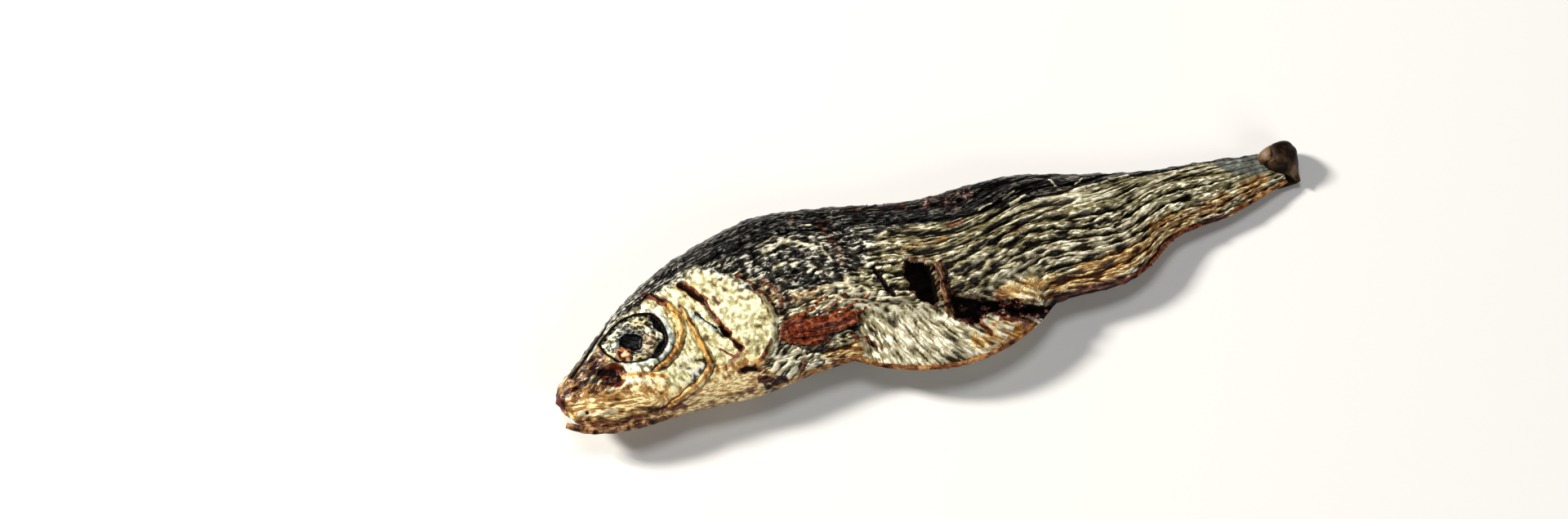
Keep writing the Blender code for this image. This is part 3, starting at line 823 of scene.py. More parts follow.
        valley = ramp(0.5 - 0.1 * lined, 0.08, ridge) * broken * (1.0 - on_flap)
        coarse = coarse * (0.35 + 0.65 * smooth)
        light = light * (1.0 - (0.95 - 0.4 * mound(np.abs(along - 47.0), 9.0)) * valley)
        glint = grain.value(0.6 * run, across / 0.7, layer + Pattern.FOLD_GLINT)
        flow_x = along * (1.0 - on_flap) + 0.75 * up * on_flap
        flow_y = across * (1.0 - on_flap) + fan * on_flap
        # crease darkens the finish in the gaps between strokes and in the black furrows: partly the
        # skin's own dark creases, partly painted shade.
        shade = {
            "crease": (1.0 - light) * smooth * (1.0 - 0.14 * on_flap) + 0.45 * (1.0 - smooth),
            "glint": 0.5 + 0.55 * glint * smooth,
            "plain": 1.0 - smooth,
            "flow": np.stack([flow_x, flow_y, np.full_like(along, layer)], axis=-1),
        }
        return coarse + 0.28 * (light - 1.0) * smooth, shade

    def torn_belly(self, at: Spots) -> tuple[Array, Array, Array]:
        """Hole, slot and crease of the left flank.

        Args:
            at: The points.

        Returns:
            The depth in mm, how hollow each point is, which the finish paints black as painted
            shade, and how much of a lip, from 0 to 1.
        """
        along, up, fish, grain = at.along, at.up, self.fish, self.grain
        ragged = 0.22 * grain.value(along / 0.8, up / 0.8, Pattern.TEAR)
        ragged = ragged + 0.12 * grain.value(along / 0.35, up / 0.35, Pattern.FINE_TEAR)
        hole = area_reach(along, up, BELLY_HOLE) + ragged
        slot = area_reach(along, up, BELLY_CAVITY) + ragged
        crease, _ = line_reach(along, up, fish.flank_crease)
        cut = mound(crease + 0.5 * ragged, 0.42)
        depth = 2.4 * ramp(0.1, -0.5, hole) + 1.7 * ramp(0.1, -0.6, slot) + 0.6 * cut
        hollow = ramp(0.04, -0.22, hole) + ramp(0.04, -0.3, slot) + 0.9 * cut
        lips = np.maximum(mound(np.abs(hole - 0.1), 0.36), mound(np.abs(slot - 0.1), 0.4))
        return depth, np.clip(hollow, 0.0, 1.0), lips

    def flank(
        self, along: Array, up: Array, level: Array, side: Side, part: Part
    ) -> tuple[Array, Array, Masks]:
        """Relief and masks of one flank.

        Args:
            along: Places of the points.
            up: Heights of the points on the flank.
            level: Levels of the points, from -1 at the belly to 1 at the back.
            side: The flank.
            part: The head, or the body that runs in under the gill cover.

        Returns:
            The relief in mm, how far each point is tucked in under the other part, from 0 to 1, and
            the masks by name, from 0 to 1.
        """
        fish = self.fish
        wobble = self.wobble(along, up)
        at = Spots(along, up, level, self.around(along, up, level), wobble, side, part)
        strayed = wobble * (1.0 + ramp(3.0, 6.0, up) + 2.0 * ramp(-4.8, -6.0, up))
        behind = fish.behind_gill_cover(along, up) + strayed
        if part is Part.HEAD:
            apart = 1.7 * side.value * (1.0 - np.abs(level) ** 7) * ramp(0.2, 2.4, along)
            relief, shade = self.head(at, apart)
            tucked = ramp(0.05, 1.5, behind)
        else:
            relief, shade = self.folds(at)
            relief = relief * (0.7 + 0.3 * ramp(24.0, 27.0, along)) - 0.1
            tucked = ramp(0.1, -1.6, behind)
        neck, _ = line_reach(along, up, fish.neck_crease)
        relief = relief - 0.5 * mound(neck, 1.5)
        masks = {**self.masks(at), **shade}
        masks["crease"] = masks["crease"] * (1.0 - 0.85 * masks["streak"])
        relief = relief + 0.13 * masks["streak"]
        if part is Part.BODY:
            web = area_reach(along + wobble, up + wobble, FIN_WEB)
            relief = relief * (1.0 - 0.7 * ramp(0.1, -0.2, web)) + 0.3 * ramp(0.15, -0.3, web)
            masks["crease"] = masks["crease"] * (1.0 - 0.5 * ramp(0.0, -0.3, web))
            # Painted shade: dark along the edge of the fin web.
            raise_mask(masks, "crease", 0.8 * mound(np.abs(web - 0.15), 0.22))
            if side is Side.LEFT:
                depth, hollow, lips = self.torn_belly(at)
                flap = fish.flap_share(along) * ramp(-0.2, -0.8, level)
                relief = relief + fish.flap_bulge * flap - depth + 0.12 * lips
                # Painted shade: the finish goes black inside the hole, the slot and the cut of the
                # flank crease.
                masks["hollow"] = hollow
                raise_mask(masks, "rust", 0.62 * lips)
        fade = (1.0 - np.abs(level) ** 9) * ramp(-0.5, 2.0, along)
        return relief * fade, tucked, masks

    def masks(self, at: Spots) -> Masks:
        """Where the finish is dark, pale, golden, red-brown, amber or black, with painted shade in
        the hollows and at the snout's front edge and a painted highlight round the orbit.

        Args:
            at: The points.

        Returns:
            The masks by name, from 0 to 1.
        """
        along, up, level, wobble, side = at.along, at.up, at.level, at.wobble, at.side
        fish = self.fish
        head = float(at.part is Part.HEAD)
        rim = (1.0 + level) * np.interp(along, (0.0, 12.0, 30.0, 82.0), (3.0, 6.0, 8.0, 3.5))
        rim = rim + 0.8 * wobble
        dark = ramp(-0.8, 0.8, up - self.dark_limit(along))
        back = dark * (0.4 + 0.6 * ramp(12.0, 18.0, along))
        cover = ramp(16.4, 17.6, along - 0.12 * up)
        cheek = ramp(12.9, 14.2, along + 0.35 * np.abs(up - 1.0)) * ramp(7.0, 5.4, up)
        below = ramp(-1.3, -2.3, up) * ramp(8.2, 10.0, along) * ramp(-5.4, -4.2, up)
        orbit, turn = fish.orbit_share(along, up)
        lit = ramp(-0.3, 0.4, np.cos(turn + 0.7))
        pale = np.clip(cover + cheek + below, 0.0, 1.0)
        # Painted highlight: a bluish-white ring round the orbit, on its lit side only.
        ice = mound(np.abs(orbit + 0.3 * wobble - 1.14), 0.16) * lit
        ring = 0.9 * ramp(2.2, 1.2, orbit) * ramp(0.9, 1.2, orbit) * cheek
        masks = {
            "back": back,
            "pale": head * np.maximum(pale * (1.0 - dark), ring),
            "gold": head * ramp(2.6, 0.8, rim),
            "olive": head * dark,
            "grey": np.zeros_like(along),
            "streak": np.zeros_like(along),
            "ice": head * ice,
            "silver": (1.0 - head) * fish.flap_share(along) * ramp(-0.2, -0.55, level),
            "rust": 0.9 * ramp(0.8, 0.2, rim) * ramp(50.0, 54.0, along),
            "amber": ramp(0.5, 0.2, rim) * ramp(22.0, 27.0, along),
            # Painted shade: black inside the orbit's rim.
            "hollow": head * np.maximum(mound(np.abs(orbit - 0.99), 0.07), ramp(0.98, 0.9, orbit)),
        }
        masks["amber"] *= 1.0 - ramp(49.4, 50.6, along) * ramp(77.0, 73.0, along)
        masks["rust"] *= ramp(77.0, 73.0, along)
        # Painted shade: dark red-brown at the snout's front edge.
        raise_mask(masks, "rust", 0.85 * ramp(0.9, 0.45, along))
        x, y = along + wobble, up + 0.6 * wobble
        thick = 1.0 + 0.45 * self.grain.value(along / 0.7, up / 0.7, Pattern.MARK_WIDTH)
        for name, mark in ((name, mark) for name, marks in MARKS.items() for mark in marks):
            if mark.side in (None, side):
                distance, _ = line_reach(x, y, mark.line)
                width = mark.width * thick
                raise_mask(masks, name, mark.strength * ramp(width, 0.35 * width, distance))
        for patch in PATCHES:
            if patch.side in (None, side):
                distance = area_reach(x, y, patch.corners)
                soft = ramp(patch.soft, -patch.soft, distance)
                raise_mask(masks, patch.mask, patch.strength * soft)
        return masks

    def surface(self, along: Array, up: Array, side: Side, part: Part, proud: float) -> Array:
        """Points on one flank.

        Args:
            along: Places of the points.
            up: Heights of the points on the flank.
            side: The flank.
            part: The head or the body.
            proud: How far above the skin the points lie, in mm.

        Returns:
            The points in mm, measured from the snout tip.
        """
        back, belly, half_width, lift = self.fish.outline(along)
        level = np.clip((2.0 * up - back - belly) / (back - belly), -0.995, 0.995)
        relief, _, _ = self.flank(along, up, level, side, part)
        out = half_width * self.fish.fullness(along, level) + relief + proud
        return np.stack([along, up, lift + side.value * out], axis=-1)


def to_world(points: Array, fish: Anatomy) -> Array:
    """Turn points measured from the snout tip, in mm, into the frame's metres."""
    shift = np.array([fish.origin[0], fish.origin[1], 0.0])
    return (np.asarray(points, float) - shift) * MM


@dataclass(frozen=True)
class Tone:
    """A colour in three steps, from the crease to the ridge; on the skin the dark crease step is
    partly painted shade and the light ridge step partly painted highlight.
    """

    crease: Colour
    middle: Colour
    ridge: Colour


class NodeDraft:
    """A small helper that adds and links nodes of one tree."""

    def __init__(self, tree: Tree) -> None:
        """Keep the tree."""
        self.tree = tree

    def put(self, socket: Socket, value: object) -> None:
        """Link an input to another node's socket, or set its value.

        Args:
            socket: The input.
            value: The socket to link, or the value; a colour has three numbers.
        """
        if isinstance(value, Socket):
            self.tree.links.new(value, socket)
        elif isinstance(value, tuple) and len(value) == 3 and socket.type == "RGBA":
            socket.default_value = (*value, 1.0)
        else:
            socket.default_value = value

    def add(self, kind: str, inputs: dict | None = None, **settings: object) -> Node:
        """Add a node.

        Args:
            kind: The node's type.
            inputs: Values or sockets for its inputs, by name or number.
            **settings: The node's own properties.

        Returns:
            The node.
        """
        node = self.tree.nodes.new(kind)
        for name, value in settings.items():
            setattr(node, name, value)
        for key, value in (inputs or {}).items():
            self.put(node.inputs[key], value)
        return node

    def pick(self, node: Node, inputs: dict[str, object], output: str) -> Socket:
        """Fill in a node whose sockets share their names, and read one output.

        Args:
            node: The node.
            inputs: Values or sockets by the inputs' identifiers.
            output: The output's identifier.

        Returns:
            The output.
        """
        named = {socket.identifier: socket for socket in node.inputs}
        for key, value in inputs.items():
            self.put(named[key], value)
        return next(socket for socket in node.outputs if socket.identifier == output)

    def math(self, operation: str, *values: object, clamp: bool = False) -> Socket:
        """Add a Math node and return its output."""
        inputs = dict(enumerate(values))
        return self.add("ShaderNodeMath", inputs, operation=operation, use_clamp=clamp).outputs[0]

    def times(self, first: object, second: object) -> Socket:
        """Multiply two numbers."""
        return self.math("MULTIPLY", first, second)

    def less(self, first: object, second: object) -> Socket:
        """Take the second number off the first."""
        return self.math("SUBTRACT", first, second)

    def scaled(self, value: object, by: object, plus: object, clamp: bool = False) -> Socket:
        """Multiply a number and add another, held within 0 and 1 if asked."""
        return self.math("MULTIPLY_ADD", value, by, plus, clamp=clamp)

    def mix(self, factor: object, first: object, second: object) -> Socket:
        """Mix two colours and return the result."""
        inputs = {"Factor_Float": factor, "A_Color": first, "B_Color": second}
        return self.pick(self.add("ShaderNodeMix", data_type="RGBA"), inputs, "Result_Color")

    def random(self, low: object, high: object, seed: Socket) -> Socket:
        """Draw a number between two others for each point."""
        node = self.add("FunctionNodeRandomValue", data_type="FLOAT")
        return self.pick(node, {"Min_001": low, "Max_001": high, "Seed": seed}, "Value_001")

    def step(self, value: object, low: float, high: float) -> Socket:
        """Rise smoothly from 0 at low to 1 at high."""
        inputs = {"Value": value, "From Min": low, "From Max": high}
        return self.add("ShaderNodeMapRange", inputs, interpolation_type="SMOOTHSTEP").outputs[0]

    def triple(self, x: object, y: object, z: object) -> Socket:
        """Make a vector of three numbers."""
        return self.add("ShaderNodeCombineXYZ", {"X": x, "Y": y, "Z": z}).outputs[0]

    def attribute(self, name: str) -> Socket:
        """Read a number that the piece's points carry."""
        return self.add("ShaderNodeAttribute", attribute_name=name).outputs["Fac"]

    def place(self) -> Socket:
        """Place on the piece."""
        return self.add("ShaderNodeTexCoord").outputs["Object"]

    def noise(self, where: object, scale: float, detail: float = 3.0) -> Socket:
        """Noise texture with the given number of cells a metre."""
        inputs = {"Vector": where, "Scale": scale, "Detail": detail, "Roughness": 0.6}
        return self.add("ShaderNodeTexNoise", inputs).outputs["Fac"]


class SharedEffects:
    """Shader node groups that several finishes use, each built once."""

    def __init__(self) -> None:
        """Build the groups."""
        self.tone = self._tone()
        self.ragged = self._ragged()
        self.pits = self._pits()
        self.wrinkles = self._wrinkles()

    @staticmethod
    def _group(name: str, inputs: dict[str, str], output: str, kind: str = "Float") -> tuple:
        """Start a group with named sockets.

        Args:
            name: The group's name.
            inputs: Kinds of the inputs by name.
            output: Name of the output.
            kind: Kind of the output.

        Returns:
            The draft of its tree, its inputs by name and its output's socket.
        """
        tree = bpy.data.node_groups.new(name, "ShaderNodeTree")
        for label, given in inputs.items():
            tree.interface.new_socket(label, in_out="INPUT", socket_type=f"NodeSocket{given}")
        tree.interface.new_socket(output, in_out="OUTPUT", socket_type=f"NodeSocket{kind}")
        draft = NodeDraft(tree)
        entry = draft.add("NodeGroupInput")
        end = draft.add("NodeGroupOutput").inputs[output]
        return draft, {label: entry.outputs[label] for label in inputs}, end

    def _tone(self) -> Tree:
        """Colour that goes from crease through middle to ridge; on the skin its crease end is
        partly painted shade and its ridge end partly painted highlight.

        Returns:
            The group.
        """
        colours = {name: "Color" for name in ("Crease", "Middle", "Ridge")}
        draft, given, end = self._group(
            "three_step_tone", {"Height": "Float", **colours}, "Color", "Color"
        )
        low = draft.step(given["Height"], 0.10, 0.48)
        high = draft.step(given["Height"], 0.50, 0.92)
        deep = draft.mix(low, given["Crease"], given["Middle"])
        draft.put(end, draft.mix(high, deep, given["Ridge"]))
        return draft.tree

    def _ragged(self) -> Tree:
        """Mask whose edge is broken up by noise.

        Returns:
            The group.
        """
        inputs = {"Mask": "Float", "Scale": "Float", "Breakup": "Float"}
        draft, given, end = self._group("ragged_mask", inputs, "Mask")
        cells = draft.add(
            "ShaderNodeTexNoise", {"Vector": draft.place(), "Scale": given["Scale"], "Detail": 3.0}
        ).outputs["Fac"]
        shift = draft.times(draft.less(cells, 0.5), given["Breakup"])
        moved = draft.math("ADD", given["Mask"], shift)
        draft.put(end, draft.step(moved, 0.3, 0.7))
        return draft.tree

    def _pits(self) -> Tree:
        """Height of fine pits and grain for bump.

        Returns:
            The group.
        """
        draft, given, end = self._group("fine_pits", {"Scale": "Float", "Pits": "Float"}, "Height")
        spread = {"Vector": draft.place(), "Scale": given["Scale"]}
        fine = draft.add("ShaderNodeTexNoise", {**spread, "Detail": 4.0}).outputs["Fac"]
        cells = draft.add("ShaderNodeTexVoronoi", spread, feature="F1").outputs["Distance"]
        pitted = draft.times(cells, given["Pits"])
        draft.put(end, draft.math("ADD", fine, pitted))
        return draft.tree

    def _wrinkles(self) -> Tree:
        """Wavy strokes, drawn out along the flow, from dark gaps to light ridges.

        Returns:
            The group.
        """
        inputs = {"Flow": "Vector", "Length": "Float", "Width": "Float"}
        draft, given, end = self._group("flowing_strokes", inputs, "Height")
        axes = draft.add("ShaderNodeSeparateXYZ", {"Vector": given["Flow"]}).outputs
        x = draft.math("DIVIDE", axes["X"], given["Length"])
        y = draft.math("DIVIDE", axes["Y"], given["Width"])
        slow = draft.triple(draft.times(x, 1.7), draft.times(y, 0.45), axes["Z"])
        wave = draft.less(draft.noise(slow, 1.0, 1.0), 0.5)
        where = draft.triple(x, draft.scaled(wave, 2.6, y), axes["Z"])
        draft.put(end, draft.step(draft.noise(where, 1.0, 0.0), 0.34, 0.62))
        return draft.tree


class Dressing:
    """A material under way: its nodes, its shader and the shared effects."""

    def __init__(self, name: str, effects: SharedEffects) -> None:
        """Start the material.

        Args:
            name: The material's name.
            effects: The shared node groups.
        """
        self.effects = effects
        self.material = bpy.data.materials.new(name)
        self.material.use_nodes = True
        self.draft = NodeDraft(self.material.node_tree)
        self.shader = self.material.node_tree.nodes["Principled BSDF"]
        self.place = self.draft.place()

    def put(self, name: str, value: object) -> None:
        """Link or set one of the shader's inputs."""
        self.draft.put(self.shader.inputs[name], value)

    def group(self, group: Tree, inputs: dict[str, object]) -> Socket:
        """Place a shared group and read its output."""
        return self.draft.add("ShaderNodeGroup", inputs, node_tree=group).outputs[0]

    def shade(self, height: Socket, tone: Tone) -> Socket:
        """Colour of a tone at each height."""
        colours = {"Crease": tone.crease, "Middle": tone.middle, "Ridge": tone.ridge}
        return self.group(self.effects.tone, {"Height": height, **colours})

    def ragged(self, name: str, scale: float, breakup: float) -> Socket:
        """Mask that the piece's points carry, its edge broken up."""
        inputs = {"Mask": self.draft.attribute(name), "Scale": scale, "Breakup": breakup}
        return self.group(self.effects.ragged, inputs)

    def pits(self, scale: float, depth: float) -> Socket:
        """Height of fine pits, with the given number of them a metre."""
        return self.group(self.effects.pits, {"Scale": scale, "Pits": depth})

    def bump(self, height: Socket, strength: float, distance: float) -> None:
        """Bend the light by a height, its distance in metres."""
        inputs = {"Height": height, "Strength": strength, "Distance": distance}
        self.put("Normal", self.draft.add("ShaderNodeBump", inputs).outputs["Normal"])


@dataclass(frozen=True)
class Layer(Tone):
    """A tone that lies where a mask says, its edge broken up by noise."""

    mask: str
    scale: float = 1500.0
    breakup: float = 0.8

    def cover(self, dressing: Dressing, colour: Socket, height: Socket) -> Socket:
        """Lay the tone over a colour."""
        mask = dressing.ragged(self.mask, self.scale, self.breakup)
        return dressing.draft.mix(mask, colour, dressing.shade(height, self))


@dataclass(frozen=True)
class SkinFinish:
    """Skin of the dried fish: silver-olive flanks, dark back, cream gill cover, rust and amber,
    with painted shade in the creases and hollows and painted highlight on the ridges.

    Attributes:
        flank: The flank's own tone.
        layers: The tones over it, from the lowest to the uppermost.
        hollow: Near-black colour inside the tears, slits and pits and round the orbit's rim:
            painted shade.
    """

    flank: Tone = Tone((0.003, 0.002, 0.001), (0.2, 0.168, 0.072), (0.98, 0.95, 0.73))
    layers: tuple[Layer, ...] = (
        Layer((0.016, 0.011, 0.005), (0.43, 0.38, 0.225), (0.96, 0.93, 0.74), "silver", 420.0, 1.0),
        Layer((0.085, 0.05, 0.015), (0.44, 0.385, 0.165), (0.88, 0.84, 0.54), "pale", 500.0, 0.6),
        Layer((0.04, 0.012, 0.003), (0.36, 0.185, 0.045), (0.94, 0.78, 0.39), "gold", 420.0, 1.3),
        Layer((0.002, 0.0012, 0.001), (0.04, 0.035, 0.022), (0.7, 0.68, 0.56), "olive", 600.0, 0.9),
        Layer((0.014, 0.012, 0.008), (0.12, 0.13, 0.11), (0.36, 0.40, 0.37), "grey", 700.0, 0.8),
        Layer(
            (0.0006, 0.0004, 0.0003), (0.005, 0.004, 0.003), (0.15, 0.14, 0.115), "back", 520.0, 1.0
        ),
        Layer((0.012, 0.02, 0.02), (0.30, 0.36, 0.32), (0.82, 0.88, 0.80), "ice", 1100.0, 0.9),
        Layer((0.12, 0.09, 0.05), (0.58, 0.52, 0.32), (0.96, 0.93, 0.74), "streak", 1300.0, 0.7),
        Layer(
            (0.004, 0.0008, 0.0004), (0.07, 0.011, 0.003), (0.25, 0.075, 0.026), "rust", 1300.0, 1.1
        ),
        Layer((0.03, 0.008, 0.002), (0.3, 0.115, 0.012), (0.72, 0.4, 0.08), "amber", 1100.0, 0.5),
    )
    hollow: Colour = (0.005, 0.0022, 0.0016)

    def wrinkled(self, dressing: Dressing) -> Socket:
        """Fine strokes along the folds, and mottles where the skin is plain.

        Args:
            dressing: The material.

        Returns:
            Their height, 1 on the light ridges.
        """
        draft = dressing.draft
        flow = draft.add("ShaderNodeAttribute", attribute_name="flow").outputs["Vector"]
        inputs = {"Flow": flow, "Length": 0.75, "Width": 0.2}
        fine = dressing.group(dressing.effects.wrinkles, inputs)
        plain = draft.attribute("plain")
        dips = draft.times(draft.less(fine, 1.0), 0.5)
        mottles = draft.less(draft.noise(dressing.place, 1300.0, 3.0), 0.54)
        mottles = draft.times(mottles, draft.times(plain, 3.2))
        return draft.math("ADD", draft.scaled(dips, draft.less(1.0, plain), 1.0), mottles)

    def build(self, effects: SharedEffects) -> Material:
        """Make the material.

        Args:
            effects: The shared node groups.

        Returns:
            The material.
        """
        dressing = Dressing("dried_skin_finish", effects)
        draft, place = dressing.draft, dressing.place
        wrinkled = self.wrinkled(dressing)
        glint = draft.scaled(draft.attribute("glint"), 0.7, 0.6)
        # The crease mask darkens the colour, partly as painted shade, and the light ridges are
        # partly painted highlight.
        folds = draft.less(1.0, draft.attribute("crease"))
        blotches = draft.less(draft.noise(place, 260.0, 2.0), 0.5)
        height = draft.times(draft.times(folds, wrinkled), glint)
        height = draft.scaled(blotches, 0.5, height, clamp=True)
        colour = dressing.shade(height, self.flank)
        for layer in self.layers:
            colour = layer.cover(dressing, colour, height)
        # Painted shade: near black where the hollow mask says.
        hollow = draft.step(draft.attribute("hollow"), 0.25, 0.6)
        dressing.put("Base Color", draft.mix(hollow, colour, self.hollow))
        rough = draft.scaled(draft.noise(place, 900.0), 0.16, 0.2)
        dressing.put("Roughness", draft.scaled(hollow, 0.5, rough))
        back = draft.attribute("back")
        dark = draft.math("ADD", back, draft.attribute("olive"), clamp=True)
        matte = draft.scaled(draft.attribute("rust"), 0.6, hollow)
        bare = draft.scaled(dark, 0.5, matte, clamp=True)
        worn = draft.scaled(height, 0.3, 0.06)
        dressing.put("Coat Weight", draft.times(worn, draft.less(1.0, bare)))
        dressing.put("Coat Roughness", 0.12)
        dull = draft.scaled(back, 0.5, matte, clamp=True)
        shine = draft.times(draft.scaled(height, 0.4, 0.14), draft.scaled(dull, -0.82, 1.0))
        dressing.put("Specular IOR Level", shine)
        surface = draft.scaled(dressing.pits(4200.0, 0.5), 0.22, wrinkled)
        dressing.bump(surface, 0.75, 0.0001)
        return dressing.material


@dataclass(frozen=True)
class HornFinish:
    """Fins, strips, rims and crumbs: dried horny matter in one tone, lighter at random and darker
    where the points carry painted shade.
    """

    name: str
    tone: Tone
    scale: float = 1400.0
    roughness: float = 0.3
    coat: float = 0.28

    def build(self, effects: SharedEffects) -> Material:
        """Make the material.

        Args:
            effects: The shared node groups.

        Returns:
            The material.
        """
        dressing = Dressing(self.name, effects)
        draft, place = dressing.draft, dressing.place
        height = draft.step(draft.noise(place, self.scale, 4.0), 0.25, 0.75)
        # Painted shade: the points' shade attribute darkens the tone.
        height = draft.scaled(draft.attribute("shade"), -0.6, height, clamp=True)
        dressing.put("Base Color", dressing.shade(height, self.tone))
        rough = draft.scaled(draft.noise(place, 2.0 * self.scale), 0.3, self.roughness - 0.15)
        dressing.put("Roughness", rough)
        dressing.put("Coat Weight", draft.times(height, self.coat))
        dressing.put("Coat Roughness", 0.12)
        dressing.put("Specular IOR Level", draft.scaled(height, 0.28, 0.05))
        dressing.bump(dressing.pits(3000.0, 0.4), 0.5, 0.00006)
        return dressing.material


@dataclass(frozen=True)
class EyeFinish:
    """Shrunken eye: black centre, olive iris, tan lump, pale corner and orange-brown crumbs, with a
    black rim and rear crescent that are painted shadow.
    """

    iris: Tone = Tone((0.002, 0.002, 0.002), (0.012, 0.012, 0.008), (0.16, 0.17, 0.13))
    layers: tuple[Layer, ...] = (
        Layer((0.012, 0.018, 0.008), (0.13, 0.15, 0.075), (0.55, 0.6, 0.42), "green"),
        Layer((0.006, 0.005, 0.002), (0.09, 0.072, 0.026), (0.66, 0.6, 0.33), "straw"),
        Layer((0.012, 0.006, 0.003), (0.15, 0.095, 0.042), (0.5, 0.42, 0.26), "tan"),
        Layer((0.04, 0.008, 0.003), (0.30, 0.10, 0.03), (0.80, 0.46, 0.22), "crumbs"),
        Layer((0.10, 0.08, 0.04), (0.55, 0.50, 0.30), (0.92, 0.90, 0.68), "cream"),
    )
    # Black of the eye's centre, used also as painted shadow on its rim and rear crescent.
    pupil: Colour = (0.0015, 0.0015, 0.002)

    def build(self, effects: SharedEffects) -> Material:
        """Make the material.

        Args:
            effects: The shared node groups.

        Returns:
            The material.
        """
        dressing = Dressing("dried_eye_finish", effects)
        draft, place = dressing.draft, dressing.place
        blotches = draft.less(draft.noise(place, 1100.0, 3.0), 0.5)
        folds = draft.less(1.0, draft.attribute("crease"))
        height = draft.scaled(blotches, 1.7, folds, clamp=True)
        colour = dressing.shade(height, self.iris)
        for layer in self.layers:
            colour = layer.cover(dressing, colour, height)
        # The black covers the eye's centre and, as painted shadow, its rim and rear crescent.
        pupil = dressing.ragged("pupil", 1300.0, 0.8)
        dressing.put("Base Color", draft.mix(pupil, colour, self.pupil))
        dressing.put("Roughness", draft.scaled(draft.noise(place, 1600.0), 0.2, 0.16))
        dressing.put("Specular IOR Level", draft.scaled(pupil, -0.38, 0.45))
        dressing.bump(dressing.pits(2500.0, 0.3), 0.4, 0.00008)
        return dressing.material


def dressed_piece(name: str, mesh: bpy.types.Mesh) -> Piece:
    """Put a mesh into the scene as a piece of the fish.

    Args:
        name: The piece's name.
        mesh: The mesh.

    Returns:
        The piece, riding on the fish's body.
    """
    piece = bpy.data.objects.new(name, mesh)
    bpy.context.scene.collection.objects.link(piece)
    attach(piece, BODY)
    LOG.info("%s: %d points, %d faces", name, len(mesh.vertices), len(mesh.polygons))
    return piece


def mesh_piece(
    name: str, points: Array, faces: Faces, fish: Anatomy, material: Material, masks: Masks
) -> Piece:
    """Make a smooth piece from points in mm.

    Args:
        name: The piece's name.
        points: The points, measured from the snout tip.
        faces: Corner numbers of each face.
        fish: The fish's sizes.
        material: Its finish.
        masks: Numbers or vectors for the finish, one for each point.

    Returns:
        The piece.
    """
    mesh = bpy.data.meshes.new(name)
    mesh.from_pydata(to_world(points, fish).tolist(), [], faces)
    for label, values in masks.items():
        kind, field_name = ("FLOAT_VECTOR", "vector") if values.ndim == 2 else ("FLOAT", "value")
        layer = mesh.attributes.new(label, kind, "POINT")
        layer.data.foreach_set(field_name, np.ascontiguousarray(values, dtype=np.float32).ravel())
    mesh.materials.append(material)
    mesh.shade_smooth()
    return dressed_piece(name, mesh)


def loft_faces(rings: int, sides: int) -> Faces:
    """Faces of a loft and of its two closed ends.

    Args:
        rings: Number of rings, listed one after the other from the first point.
        sides: Number of points on a ring. The middle points of the two ends follow the rings.

    Returns:
        The point numbers of each face.
    """
    low = np.arange(rings - 1)[:, None] * sides
    high = low + sides
    here = np.arange(sides)[None, :]
    after = (here + 1) % sides
    quads = np.stack([low + here, high + here, high + after, low + after], axis=-1)
    faces = [tuple(quad) for quad in quads.reshape(-1, 4).tolist()]
    first, last = rings * sides, (rings - 1) * sides
    for side in range(sides):
        beside = (side + 1) % sides
        faces.append((first, side, beside))
        faces.append((first + 1, last + beside, last + side))
    return faces


